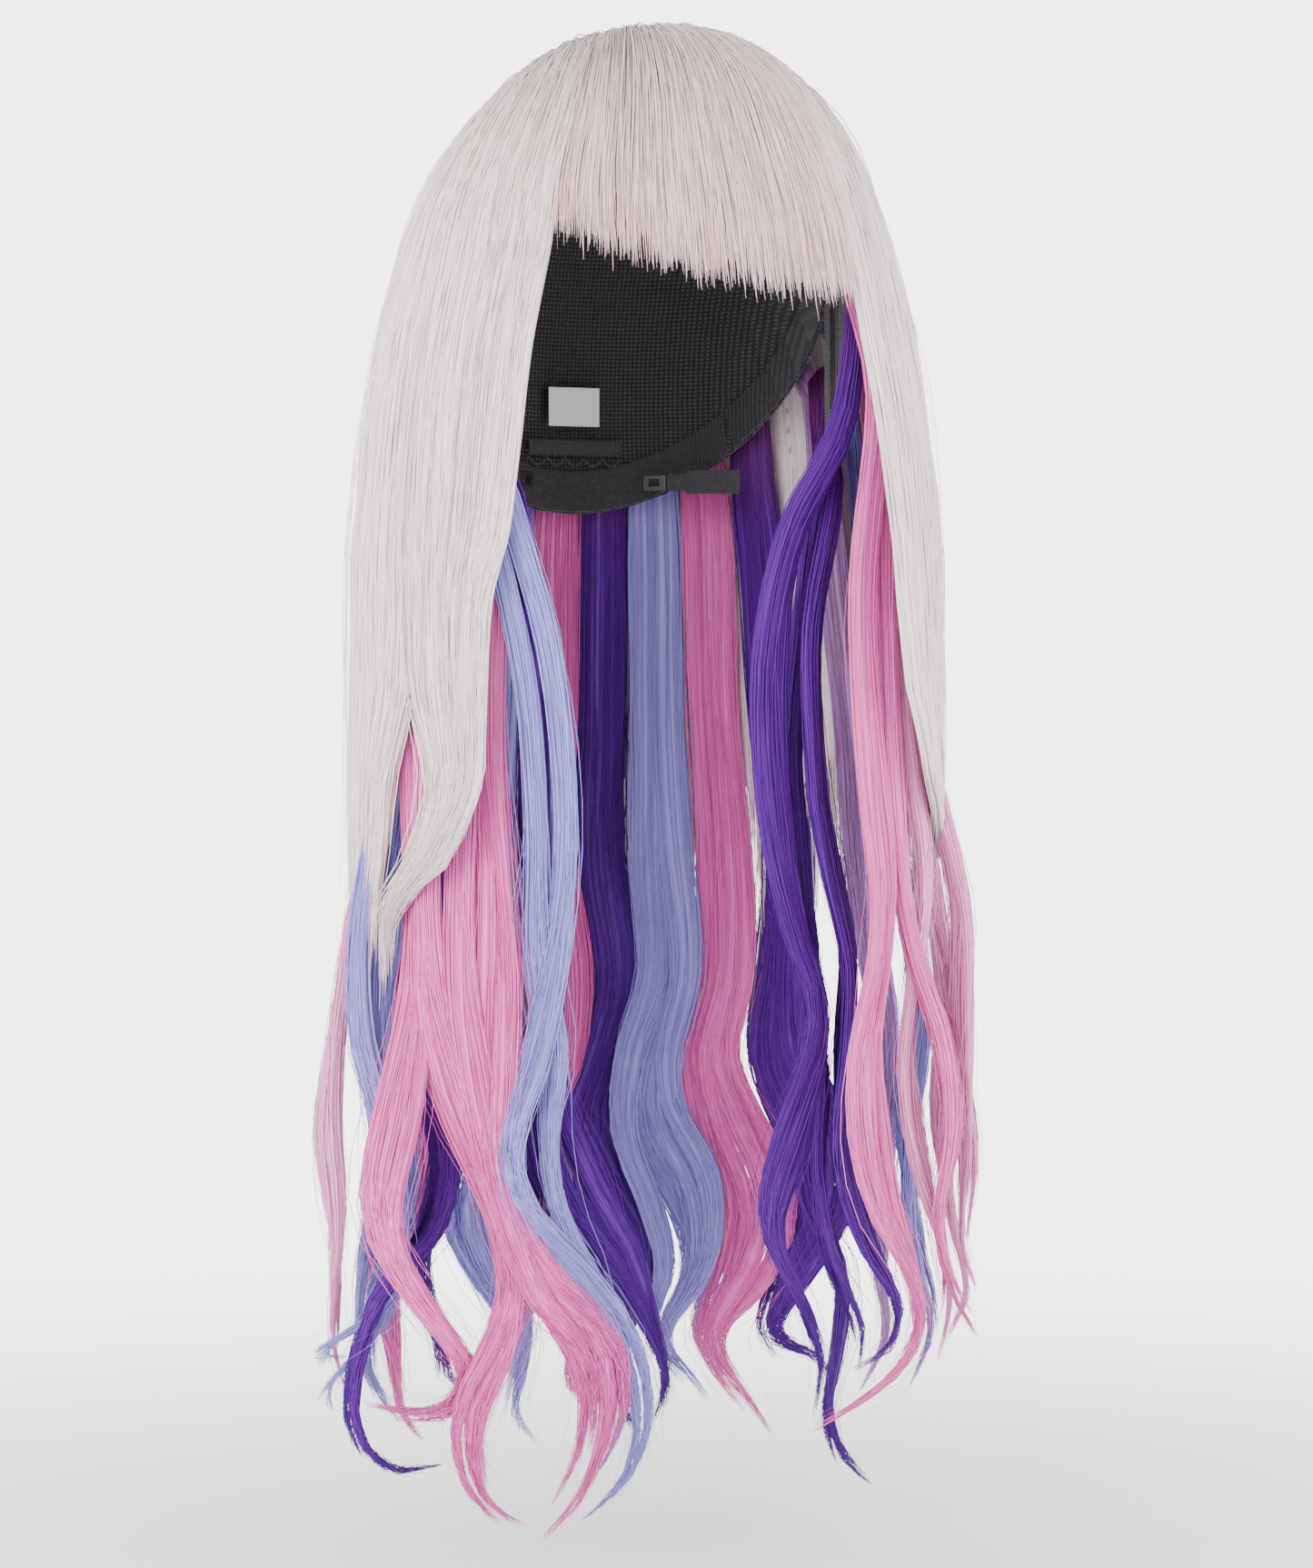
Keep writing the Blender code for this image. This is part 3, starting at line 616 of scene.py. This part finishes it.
def catmull_rom(points, samples):
    """A smooth curve through the points, resampled evenly along its length."""
    points = np.array(points, float)
    padded = np.vstack((2 * points[0] - points[1], points, 2 * points[-1] - points[-2]))
    pieces = []
    t = np.linspace(0, 1, 16, endpoint=False)[:, None]
    for i in range(len(points) - 1):
        p0, p1, p2, p3 = padded[i:i + 4]
        pieces.append(0.5 * (2 * p1 + (p2 - p0) * t + (2 * p0 - 5 * p1 + 4 * p2 - p3) * t ** 2
                             + (3 * p1 - p0 - 3 * p2 + p3) * t ** 3))
    curve = np.vstack(pieces + [points[-1:]])
    length = np.concatenate(((0,), np.cumsum(np.linalg.norm(np.diff(curve, axis=0), axis=1))))
    even = np.linspace(0, length[-1], samples)
    return np.stack([np.interp(even, length, curve[:, k]) for k in range(3)], axis=1), length[-1]


def lock_frames(centre):
    """Directions across and out of a flat lock along its route."""
    tangent = np.gradient(centre, axis=0)
    tangent /= np.linalg.norm(tangent, axis=1, keepdims=True) + 1e-12
    outward = centre * (1, 1, 0)
    outward /= np.linalg.norm(outward, axis=1, keepdims=True) + 1e-9
    across = np.cross(tangent, outward)
    norms = np.linalg.norm(across, axis=1, keepdims=True)
    across /= norms + 1e-9
    window = np.ones(7) / 7
    smoothed = np.stack(
        [np.convolve(np.pad(across[:, k], 3, mode="edge"), window, mode="valid") for k in range(3)], axis=1)
    smoothed /= np.linalg.norm(smoothed, axis=1, keepdims=True) + 1e-9
    lift = np.cross(smoothed, tangent)
    lift /= np.linalg.norm(lift, axis=1, keepdims=True) + 1e-9
    return smoothed, lift


def ribbon_shape(share):
    """How wide a ribbon of hair is along its length: full at the shoulders, pointed at the tip."""
    return (0.6 + 0.4 * smooth_step(0.0, 0.2, share)) * (1 - 0.34 * smooth_step(0.45, 0.78, share)) \
        * (1 - 0.80 * smooth_step(0.80, 1.0, share))


def ribbon_parts(route, count, half_width, half_depth, rng, steps, offset, offset_out, curl, end, stray=0.12):
    """One smooth ribbon of hair: a dense core and the fine strands round it."""
    centre, length = catmull_rom(route, ROUTE_SAMPLES)
    across, lift = lock_frames(centre)
    share = np.linspace(0, 1, ROUTE_SAMPLES)
    growth = smooth_step(0.30, 0.85, share)
    phase = rng.uniform(-1.0, 1.0) + math.pi * (offset < 0)
    turn = 2 * math.pi * share * length / 0.15 + phase
    gather = 1 - 0.65 * smooth_step(0.74, 0.98, share)
    sideways = offset * (0.30 + 0.70 * growth) * gather + curl * growth * np.sin(turn)
    outwards = offset_out * (0.40 + 0.60 * growth) + curl * 0.8 * growth * np.cos(turn)
    centre = centre + across * sideways[:, None] + lift * outwards[:, None]
    across, lift = lock_frames(centre)

    ends = rng.uniform(end - 0.06, end, count)
    places = np.linspace(0, 1, steps)[None, :] * ends[:, None]

    def read(values):
        return np.stack([np.interp(places, share, values[:, k]) for k in range(3)], axis=-1)

    spin = rng.uniform(0, 2 * math.pi, count)
    radius = np.sqrt(rng.uniform(0.30, 1, count))
    a, b = (radius * np.cos(spin))[:, None], (radius * np.sin(spin))[:, None]
    shape = ribbon_shape(places / end)
    strays = (rng.uniform(0, 1, count) < stray)[:, None]
    wander = smooth_noise(rng, count, places * length / 0.16, 3, 0.0004)
    wander += strays * smooth_noise(rng, count, places * 2.2, 3, 0.0055) * places
    wander_out = smooth_noise(rng, count, places * length / 0.16, 3, 0.00035)
    wander_out += strays * smooth_noise(rng, count, places * 2.2, 3, 0.003) * places
    paths = (
        read(centre)
        + read(across) * (a * half_width * shape + wander)[..., None]
        + read(lift) * (b * half_depth * shape + wander_out)[..., None]
    )
    along = places / ends[:, None]
    taper = np.minimum(1.0, 0.5 + 6 * along) * np.clip((1.03 - along) / 0.14, 0.2, 1.0)
    size = FINE_STRAND_RADIUS * rng.uniform(0.7, 1.3, (count, 1)) * np.where(strays, STRAY_THINNING, 1.0)
    last = int(ROUTE_SAMPLES * (end - 0.06))
    inner = ribbon_shape(share[:last] / end)
    inner *= np.clip((share[last - 1] - share[:last]) / 0.05 + 0.08, 0.0, 1.0)
    every = np.linspace(0, last - 1, steps + 8).astype(int)
    return [
        strand_part(paths, size * taper, rng),
        core_part(centre[every], (half_width * 0.80 * inner)[every], (half_depth * 0.74 * inner)[every]),
    ]


def make_lock(name, tone, routes, body, slot, seed, half_width=0.0066, half_depth=0.0036,
              ribbons=3, per_ribbon=96, curl=0.0028, spread=0.0078):
    """One lock: along each route, a few smooth ribbons that part a little towards the tips."""
    rng = np.random.default_rng(seed)
    parts = []
    for number, route in enumerate(routes):
        count = ribbons if number == 0 else 2
        for ribbon in range(count):
            offset = (ribbon - (count - 1) / 2) / max((count - 1) / 2, 1)
            main = ribbon == count // 2
            parts += ribbon_parts(
                route, per_ribbon, half_width * rng.uniform(0.88, 1.1), half_depth * rng.uniform(0.85, 1.1),
                rng, 30, offset=offset * spread, offset_out=rng.uniform(-0.5, 0.5) * spread * 0.6,
                curl=curl * (0.2 if main else rng.uniform(0.7, 1.2)),
                end=1.0 if main else rng.uniform(0.90, 0.985))
    piece = build_tubes(name, parts, hair_material(name, tone))
    blend_at_hinge(piece)
    return piece


def outer_root(angle):
    """From a weft on the cap down to the space under the white hair."""
    y = -CAP_HALF[1] * math.cos(math.radians(angle))
    start_z = min(max(rim_height(y) + 0.010, 0.016), 0.070)
    radians = math.radians(angle)
    middle_z = min(start_z - 0.012, 0.020)
    return [
        cap_point(angle, start_z, 0.0045),
        (-0.0885 * math.sin(radians), -0.1040 * math.cos(radians), middle_z),
        (-0.0925 * math.sin(radians), -0.1080 * math.cos(radians), middle_z - 0.030),
    ]


def temple_root(side):
    """In front of the ear tab, close to the face."""
    return [(side * 0.0655, -0.0585, 0.072), (side * 0.0668, -0.0575, 0.035), (side * 0.062, -0.054, -0.012)]


def ear_root(side, forward):
    """From behind the ear, brought forward under the ear tab."""
    return [(side * 0.0800, 0.014, 0.014), (side * 0.0760, 0.000, -0.014), (side * 0.068, -forward, -0.040)]


def colour_locks():
    """Name, tone, root points and the given route below them. The name starts with its side."""
    return (
        ("right_blue_front_lock", "blue", outer_root(64),
         [(-0.079, -0.066, -0.045), (-0.064, -0.070, -0.100), (-0.057, -0.070, -0.160),
          (-0.059, -0.070, -0.205), (-0.068, -0.071, -0.248), (-0.079, -0.071, -0.288),
          (-0.071, -0.071, -0.313), (-0.053, -0.070, -0.332), (-0.036, -0.069, -0.356),
          (-0.027, -0.068, -0.380), (-0.026, -0.066, -0.402), (-0.033, -0.062, -0.421),
          (-0.047, -0.056, -0.434)]),
        ("right_pink_front_lock", "pink", outer_root(60),
         [(-0.082, -0.048, -0.129), (-0.080, -0.051, -0.183), (-0.080, -0.056, -0.220),
          (-0.082, -0.060, -0.255), (-0.082, -0.062, -0.284), (-0.078, -0.064, -0.309),
          (-0.064, -0.066, -0.341), (-0.048, -0.067, -0.356), (-0.038, -0.067, -0.376),
          (-0.040, -0.065, -0.400), (-0.049, -0.061, -0.424), (-0.063, -0.056, -0.439)]),
        ("right_pink_loop_lock", "pink", outer_root(71),
         [(-0.098, -0.030, -0.115), (-0.101, -0.034, -0.180), (-0.101, -0.038, -0.230),
          (-0.095, -0.043, -0.262), (-0.086, -0.047, -0.290), (-0.076, -0.050, -0.318),
          (-0.072, -0.052, -0.344), (-0.078, -0.052, -0.368), (-0.087, -0.051, -0.387),
          (-0.089, -0.050, -0.406), (-0.084, -0.048, -0.422), (-0.075, -0.046, -0.432),
          (-0.063, -0.044, -0.437)]),
        ("right_pink_wave_lock", "pink", outer_root(82),
         [(-0.100, -0.020, -0.120), (-0.101, -0.026, -0.195), (-0.104, -0.030, -0.237),
          (-0.111, -0.034, -0.273), (-0.119, -0.036, -0.306), (-0.118, -0.037, -0.325),
          (-0.109, -0.040, -0.343), (-0.096, -0.043, -0.361), (-0.086, -0.044, -0.376),
          (-0.091, -0.042, -0.389), (-0.106, -0.036, -0.392), (-0.126, -0.028, -0.388)]),
        ("right_blue_outer_lock", "blue", outer_root(94),
         [(-0.104, 0.002, -0.120), (-0.112, -0.001, -0.175), (-0.118, -0.002, -0.210),
          (-0.118, -0.003, -0.250), (-0.110, -0.004, -0.279), (-0.102, -0.003, -0.310),
          (-0.101, -0.002, -0.343), (-0.111, 0.000, -0.359), (-0.124, 0.001, -0.367),
          (-0.134, 0.002, -0.372), (-0.130, 0.003, -0.377), (-0.119, 0.004, -0.375)]),
        ("right_rose_outer_lock", "rose", outer_root(107),
         [(-0.100, 0.032, -0.140), (-0.112, 0.032, -0.215), (-0.119, 0.031, -0.255),
          (-0.122, 0.031, -0.287), (-0.119, 0.032, -0.313), (-0.117, 0.033, -0.338),
          (-0.118, 0.034, -0.373), (-0.112, 0.035, -0.392)]),
        ("right_purple_inner_lock", "purple", ear_root(-1, 0.028),
         [(-0.058, -0.034, -0.110), (-0.056, -0.039, -0.215), (-0.057, -0.041, -0.270),
          (-0.045, -0.041, -0.311), (-0.026, -0.041, -0.338), (-0.013, -0.040, -0.362),
          (-0.006, -0.039, -0.378), (-0.006, -0.038, -0.391), (-0.012, -0.036, -0.401)]),
        ("right_lilac_inner_lock", "lilac", ear_root(-1, 0.018),
         [(-0.074, -0.022, -0.100), (-0.071, -0.030, -0.190), (-0.061, -0.036, -0.255),
          (-0.053, -0.032, -0.305), (-0.060, -0.022, -0.355), (-0.074, -0.014, -0.398),
          (-0.068, -0.009, -0.424)]),
        ("right_purple_hook_lock", "purple", outer_root(112),
         [(-0.088, 0.004, -0.150), (-0.097, -0.002, -0.235), (-0.090, -0.002, -0.270),
          (-0.084, -0.002, -0.300), (-0.089, -0.001, -0.324), (-0.102, 0.000, -0.339),
          (-0.113, 0.001, -0.356), (-0.119, 0.002, -0.378), (-0.120, 0.003, -0.396),
          (-0.115, 0.004, -0.410), (-0.102, 0.005, -0.420), (-0.080, 0.006, -0.417)]),
        ("left_purple_inner_lock", "purple", temple_root(1),
         [(0.044, -0.046, -0.052), (0.036, -0.042, -0.093), (0.035, -0.041, -0.128),
          (0.039, -0.041, -0.174), (0.046, -0.041, -0.208), (0.056, -0.042, -0.236),
          (0.055, -0.042, -0.259), (0.046, -0.042, -0.288), (0.037, -0.042, -0.313),
          (0.036, -0.042, -0.328), (0.042, -0.042, -0.344), (0.051, -0.041, -0.360),
          (0.057, -0.040, -0.378), (0.054, -0.039, -0.401)]),
        ("left_purple_middle_lock", "purple", ear_root(1, 0.030),
         [(0.058, -0.032, -0.093), (0.061, -0.030, -0.151), (0.067, -0.030, -0.185),
          (0.074, -0.030, -0.220), (0.072, -0.030, -0.254), (0.070, -0.030, -0.288),
          (0.074, -0.030, -0.311), (0.083, -0.030, -0.335), (0.095, -0.030, -0.357),
          (0.092, -0.030, -0.374), (0.075, -0.030, -0.382)]),
        ("left_purple_tail_lock", "purple", ear_root(1, 0.014),
         [(0.058, -0.012, -0.129), (0.061, -0.012, -0.183), (0.066, -0.012, -0.237),
          (0.062, -0.012, -0.291), (0.069, -0.012, -0.324), (0.079, -0.012, -0.346),
          (0.078, -0.012, -0.374), (0.072, -0.012, -0.396), (0.075, -0.011, -0.415),
          (0.084, -0.010, -0.427), (0.094, -0.008, -0.434)]),
        ("left_pink_front_lock", "pink", outer_root(-49),
         [(0.062, -0.074, -0.080), (0.066, -0.075, -0.151), (0.070, -0.075, -0.190),
          (0.068, -0.075, -0.222), (0.063, -0.074, -0.254), (0.065, -0.074, -0.288),
          (0.071, -0.074, -0.316), (0.082, -0.072, -0.339), (0.088, -0.070, -0.357),
          (0.084, -0.070, -0.372), (0.070, -0.069, -0.386), (0.044, -0.066, -0.402)]),
        ("left_pink_middle_lock", "pink", outer_root(-60),
         [(0.079, -0.062, -0.111), (0.085, -0.062, -0.185), (0.091, -0.062, -0.220),
          (0.102, -0.062, -0.252), (0.107, -0.062, -0.288), (0.102, -0.062, -0.323),
          (0.107, -0.061, -0.348), (0.120, -0.058, -0.369)]),
        ("left_rose_front_lock", "rose", outer_root(-71),
         [(0.098, -0.045, -0.129), (0.109, -0.046, -0.165), (0.116, -0.046, -0.199),
          (0.116, -0.046, -0.233), (0.118, -0.045, -0.267), (0.121, -0.045, -0.300),
          (0.120, -0.044, -0.334), (0.127, -0.042, -0.352)]),
        ("left_rose_outer_lock", "rose", outer_root(-82),
         [(0.104, -0.020, -0.120), (0.114, -0.022, -0.195), (0.120, -0.024, -0.245),
          (0.117, -0.026, -0.295), (0.123, -0.024, -0.330), (0.131, -0.020, -0.356),
          (0.122, -0.016, -0.376)]),
        ("left_blue_outer_lock", "blue", outer_root(-94),
         [(0.104, 0.004, -0.120), (0.112, 0.004, -0.190), (0.119, 0.003, -0.240),
          (0.114, 0.002, -0.290), (0.118, 0.004, -0.340), (0.128, 0.008, -0.372),
          (0.120, 0.014, -0.398)]),
        ("left_lilac_outer_lock", "lilac", outer_root(-107),
         [(0.101, 0.034, -0.120), (0.108, 0.036, -0.190), (0.116, 0.035, -0.250),
          (0.112, 0.033, -0.300), (0.116, 0.036, -0.350), (0.122, 0.042, -0.380),
          (0.112, 0.048, -0.404)]),
    )


BACK_LOCKS = (
    ("back_blue_right_lock", "blue", 129, -0.415),
    ("back_pink_right_lock", "pink", 142, -0.425),
    ("back_purple_right_lock", "purple", 155, -0.410),
    ("back_blue_middle_lock", "blue", 168, -0.430),
    ("back_pink_middle_lock", "pink", 180, -0.418),
    ("back_purple_middle_lock", "purple", 192, -0.432),
    ("back_blue_left_lock", "blue", 205, -0.412),
    ("back_pink_left_lock", "pink", 218, -0.426),
    ("back_purple_left_lock", "purple", 231, -0.405),
)


def back_route(angle, tip_z, index):
    """A back lock: straight to the shoulders, then waves beside its neighbours to a hook."""
    points = []
    phase = 0.6 + index * 0.62
    depth = (-0.0062, 0.0005, 0.0068)[index % 3]
    for z in (-0.06, -0.12, -0.18, -0.23, -0.265, -0.295, -0.325, -0.355, -0.385):
        growth = float(smooth_step(0.12, 0.34, -z))
        turn = phase + 2 * math.pi * (-z) / 0.135
        here = math.radians(angle + 5.8 * growth * math.sin(turn))
        out = 0.005 * growth * math.cos(turn) + depth * float(smooth_step(0.02, 0.16, -z))
        wide = 0.098 + 0.020 * float(smooth_step(0.05, 0.30, -z)) + out
        deep = 0.112 + 0.011 * float(smooth_step(0.05, 0.30, -z)) + out
        points.append((-wide * math.sin(here), -deep * math.cos(here), z))
    for turned, inward, z in ((4.0, 0.000, tip_z + 0.012), (9.0, 0.004, tip_z)):
        hook = math.radians(angle + turned)
        out = depth - inward
        points.append((-(0.120 + out) * math.sin(hook), -(0.124 + out) * math.cos(hook), z))
    return points


# Second routes of locks that split in two
BRANCHES = {
    "right_blue_outer_lock": ([
        (-0.102, 0.008, -0.120), (-0.108, 0.006, -0.190), (-0.113, 0.006, -0.240),
        (-0.108, 0.006, -0.290), (-0.100, 0.006, -0.330), (-0.105, 0.006, -0.359),
        (-0.118, 0.006, -0.376), (-0.132, 0.006, -0.389), (-0.125, 0.008, -0.396)],),
    "right_blue_front_lock": ([
        (-0.084, -0.062, -0.050), (-0.072, -0.066, -0.110), (-0.067, -0.067, -0.170),
        (-0.067, -0.067, -0.215), (-0.061, -0.068, -0.255), (-0.062, -0.068, -0.285),
        (-0.058, -0.068, -0.312), (-0.045, -0.067, -0.340), (-0.034, -0.064, -0.372),
        (-0.036, -0.060, -0.402), (-0.046, -0.054, -0.424)],),
    "right_pink_front_lock": ([
        (-0.088, -0.042, -0.125), (-0.091, -0.046, -0.185), (-0.092, -0.050, -0.230),
        (-0.088, -0.054, -0.268), (-0.080, -0.056, -0.304), (-0.069, -0.058, -0.336),
        (-0.053, -0.058, -0.358), (-0.043, -0.057, -0.380), (-0.044, -0.055, -0.404),
        (-0.055, -0.051, -0.428)],),
    "left_purple_inner_lock": ([
        (0.048, -0.040, -0.055), (0.043, -0.036, -0.100), (0.045, -0.034, -0.160),
        (0.054, -0.034, -0.215), (0.062, -0.034, -0.262), (0.061, -0.034, -0.305),
        (0.068, -0.034, -0.340), (0.080, -0.034, -0.366), (0.078, -0.034, -0.384)],),
    "left_rose_front_lock": ([
        (0.090, -0.052, -0.125), (0.098, -0.054, -0.185), (0.094, -0.054, -0.225),
        (0.089, -0.054, -0.262), (0.095, -0.054, -0.300), (0.107, -0.053, -0.335),
        (0.109, -0.052, -0.358), (0.104, -0.050, -0.380)],),
}

# Ribbon widths and spreads where a lock differs from the rest
LOCK_SHAPES = {
    "right_blue_front_lock": {"half_width": 0.0036, "spread": 0.0048, "ribbons": 2},
    "right_pink_front_lock": {"half_width": 0.0076, "spread": 0.0056},
    "right_pink_loop_lock": {"half_width": 0.0076, "spread": 0.0056},
    "right_pink_wave_lock": {"half_width": 0.0074, "spread": 0.0060},
    "right_rose_outer_lock": {"half_width": 0.0045, "spread": 0.0060},
    "right_blue_outer_lock": {"half_width": 0.0055, "spread": 0.0050, "ribbons": 2},
    "right_purple_hook_lock": {"half_width": 0.0062, "spread": 0.0045},
    "left_purple_inner_lock": {"half_width": 0.0074, "spread": 0.0070},
    "left_purple_middle_lock": {"half_width": 0.0088, "spread": 0.0090},
    "left_purple_tail_lock": {"half_width": 0.0080, "spread": 0.0080},
}


def make_colour_hair():
    for index, (name, tone, root, route) in enumerate(colour_locks()):
        body = name.split("_")[0] + "_hair"
        routes = [root + route] + [root + branch for branch in BRANCHES.get(name, ())]
        shape = LOCK_SHAPES.get(name, {})
        piece = make_lock("hair_" + name, tone, routes, body, tone + "_hair", 100 + index, **shape)
        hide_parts(name)
    for index, (name, tone, angle, tip_z) in enumerate(BACK_LOCKS):
        route = outer_root(angle) + back_route(angle, tip_z, index)
        piece = make_lock("hair_" + name, tone, [route], "back_hair", tone + "_hair", 140 + index,
                          half_width=0.0080, spread=0.0125, ribbons=4, per_ribbon=84)
        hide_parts(name)


# ---------------------------------------------------------- cap's materials

def fabric_material(name, dark, light, scale, bump, roughness):
    """Knitted or woven cloth: crossed wave patterns in object space."""
    material, nodes, links, shader = new_material(name)
    place = nodes.new("ShaderNodeTexCoord")
    waves = []
    for direction in ("X", "Z"):
        wave = nodes.new("ShaderNodeTexWave")
        wave.bands_direction = direction
        wave.inputs["Scale"].default_value = scale
        wave.inputs["Distortion"].default_value = 1.2
        wave.inputs["Detail"].default_value = 1.0
        links.new(place.outputs["Object"], wave.inputs["Vector"])
        waves.append(wave.outputs["Fac"])
    weave = add_math(nodes, links, "MULTIPLY", waves[0], waves[1])
    ramp = add_ramp(nodes, ((0.1, dark), (0.7, light)))
    links.new(weave, ramp.inputs[0])
    links.new(ramp.outputs[0], shader.inputs["Base Color"])
    add_bump(nodes, links, shader, weave, bump, 0.0004)
    add_roughness(nodes, links, shader, weave, roughness - 0.06, roughness + 0.08)
    shader.inputs["Sheen Weight"].default_value = 0.25
    return material


def speckled_material(name, dark, light, scale, bump, smooth, rough, metallic):
    """Metal or moulded plastic with a fine speckle in its colour, gloss and surface."""
    material, nodes, links, shader = new_material(name)
    noise = nodes.new("ShaderNodeTexNoise")
    noise.inputs["Scale"].default_value = scale
    ramp = add_ramp(nodes, ((0.3, dark), (0.7, light)))
    links.new(noise.outputs["Fac"], ramp.inputs[0])
    links.new(ramp.outputs[0], shader.inputs["Base Color"])
    add_bump(nodes, links, shader, noise.outputs["Fac"], bump, 0.0001)
    add_roughness(nodes, links, shader, noise.outputs["Fac"], smooth, rough)
    shader.inputs["Metallic"].default_value = metallic
    return material


def dress_cap():
    """Gives every shown CAD node its own detailed material."""
    net = fabric_material("net_cloth", (0.004, 0.004, 0.005), (0.05, 0.048, 0.054), 190.0, 0.9, 0.85)
    tape = fabric_material("elastic_tape", (0.008, 0.008, 0.009), (0.04, 0.038, 0.042), 320.0, 0.7, 0.7)
    skin = fabric_material("scalp_mesh", (0.42, 0.30, 0.24), (0.62, 0.47, 0.39), 260.0, 0.4, 0.6)
    label = fabric_material("label_satin", (0.62, 0.61, 0.59), (0.80, 0.79, 0.77), 500.0, 0.3, 0.5)
    metal = speckled_material(
        "stay_steel", (0.42, 0.42, 0.43), (0.62, 0.62, 0.63), 400.0, 0.3, 0.22, 0.42, metallic=1.0)
    plastic = speckled_material(
        "hook_black", (0.012, 0.012, 0.013), (0.03, 0.03, 0.032), 900.0, 0.35, 0.30, 0.48, metallic=0.0)
    slots = {entry["node"]: entry["material_slot"] for entry in frame["record"]["subparts"]}
    choice = {"black_net": net, "black_elastic": tape, "scalp_skin": skin, "steel_stay": metal,
              "hook_plastic": plastic, "loop_thread": tape, "blank_label": label}
    for node, piece in frame["nodes"].items():
        if slots.get(node) in choice:
            piece.data.materials.clear()
            piece.data.materials.append(choice[slots[node]])


# ------------------------------------------------------------------- studio

def make_floor():
    """A pale floor that fades into the pale backdrop away from the wig."""
    bpy.ops.mesh.primitive_circle_add(vertices=96, radius=FLOOR_RADIUS, fill_type="NGON",
                                      location=(0, 0, FLOOR_Z))
    floor = bpy.context.object
    floor.name = "studio_floor"
    material, nodes, links, shader = new_material("studio_floor")
    shader.inputs["Base Color"].default_value = (0.94, 0.94, 0.94, 1.0)
    shader.inputs["Roughness"].default_value = 0.9
    place = nodes.new("ShaderNodeNewGeometry")
    measure = nodes.new("ShaderNodeVectorMath")
    measure.operation = "LENGTH"
    links.new(place.outputs["Position"], measure.inputs[0])
    fade = nodes.new("ShaderNodeMapRange")
    fade.interpolation_type = "SMOOTHSTEP"
    fade.inputs["From Min"].default_value = 0.16
    fade.inputs["From Max"].default_value = 1.25
    links.new(measure.outputs["Value"], fade.inputs["Value"])
    glow = nodes.new("ShaderNodeEmission")
    glow.inputs["Strength"].default_value = BACKDROP_GLOW
    mix = nodes.new("ShaderNodeMixShader")
    links.new(fade.outputs[0], mix.inputs[0])
    links.new(shader.outputs[0], mix.inputs[1])
    links.new(glow.outputs[0], mix.inputs[2])
    links.new(mix.outputs[0], nodes["Material Output"].inputs["Surface"])
    floor.data.materials.append(material)


def add_light(name, location, size, power, aim=(0, 0, -0.12)):
    light = bpy.data.lights.new(name, "AREA")
    light.shape = "DISK"
    light.size = size
    light.energy = power
    lamp = bpy.data.objects.new(name, light)
    lamp.location = location
    lamp.rotation_euler = (Vector(aim) - Vector(location)).to_track_quat("-Z", "Y").to_euler()
    bpy.context.scene.collection.objects.link(lamp)


def make_world():
    """Soft light from everywhere, with a bright backdrop round the horizon."""
    world = bpy.data.worlds.new("studio")
    world.use_nodes = True
    nodes, links = world.node_tree.nodes, world.node_tree.links
    place = nodes.new("ShaderNodeTexCoord")
    split = nodes.new("ShaderNodeSeparateXYZ")
    links.new(place.outputs["Generated"], split.inputs[0])
    band = nodes.new("ShaderNodeMapRange")
    band.interpolation_type = "SMOOTHSTEP"
    band.inputs["From Min"].default_value = 0.22
    band.inputs["From Max"].default_value = 0.42
    band.inputs["To Min"].default_value = BACKDROP_GLOW
    band.inputs["To Max"].default_value = SKY_GLOW
    links.new(add_math(nodes, links, "ABSOLUTE", split.outputs[2], 0.0), band.inputs["Value"])
    links.new(band.outputs[0], nodes["Background"].inputs[1])
    nodes["Background"].inputs[0].default_value = (1.0, 1.0, 1.0, 1.0)
    bpy.context.scene.world = world


def make_studio():
    make_floor()
    make_world()
    add_light("key", (-1.7, -1.9, 0.9), 1.6, 60)
    add_light("fill", (2.0, -1.6, 0.6), 1.8, 5)
    add_light("back", (0.2, 2.2, 1.2), 1.8, 20)


def make_camera():
    camera = bpy.data.cameras.new("camera")
    camera.sensor_fit = "VERTICAL"
    camera.angle_y = 2 * math.atan(VIEW_FRAME_HEIGHT / 2 / VIEW_DISTANCE)
    holder = bpy.data.objects.new("camera", camera)
    right = Vector((math.cos(VIEW_AZIMUTH), math.sin(VIEW_AZIMUTH), 0))
    back = Vector((math.sin(VIEW_AZIMUTH), -math.cos(VIEW_AZIMUTH), 0))
    target = right * VIEW_ACROSS + Vector((0, 0, VIEW_HEIGHT))
    holder.location = target + back * VIEW_DISTANCE
    holder.rotation_euler = back.to_track_quat("Z", "Y").to_euler()
    bpy.context.scene.collection.objects.link(holder)
    bpy.context.scene.camera = holder


make_camera()
make_studio()
dress_cap()
make_crown_base()
make_white_hair()
make_colour_hair()
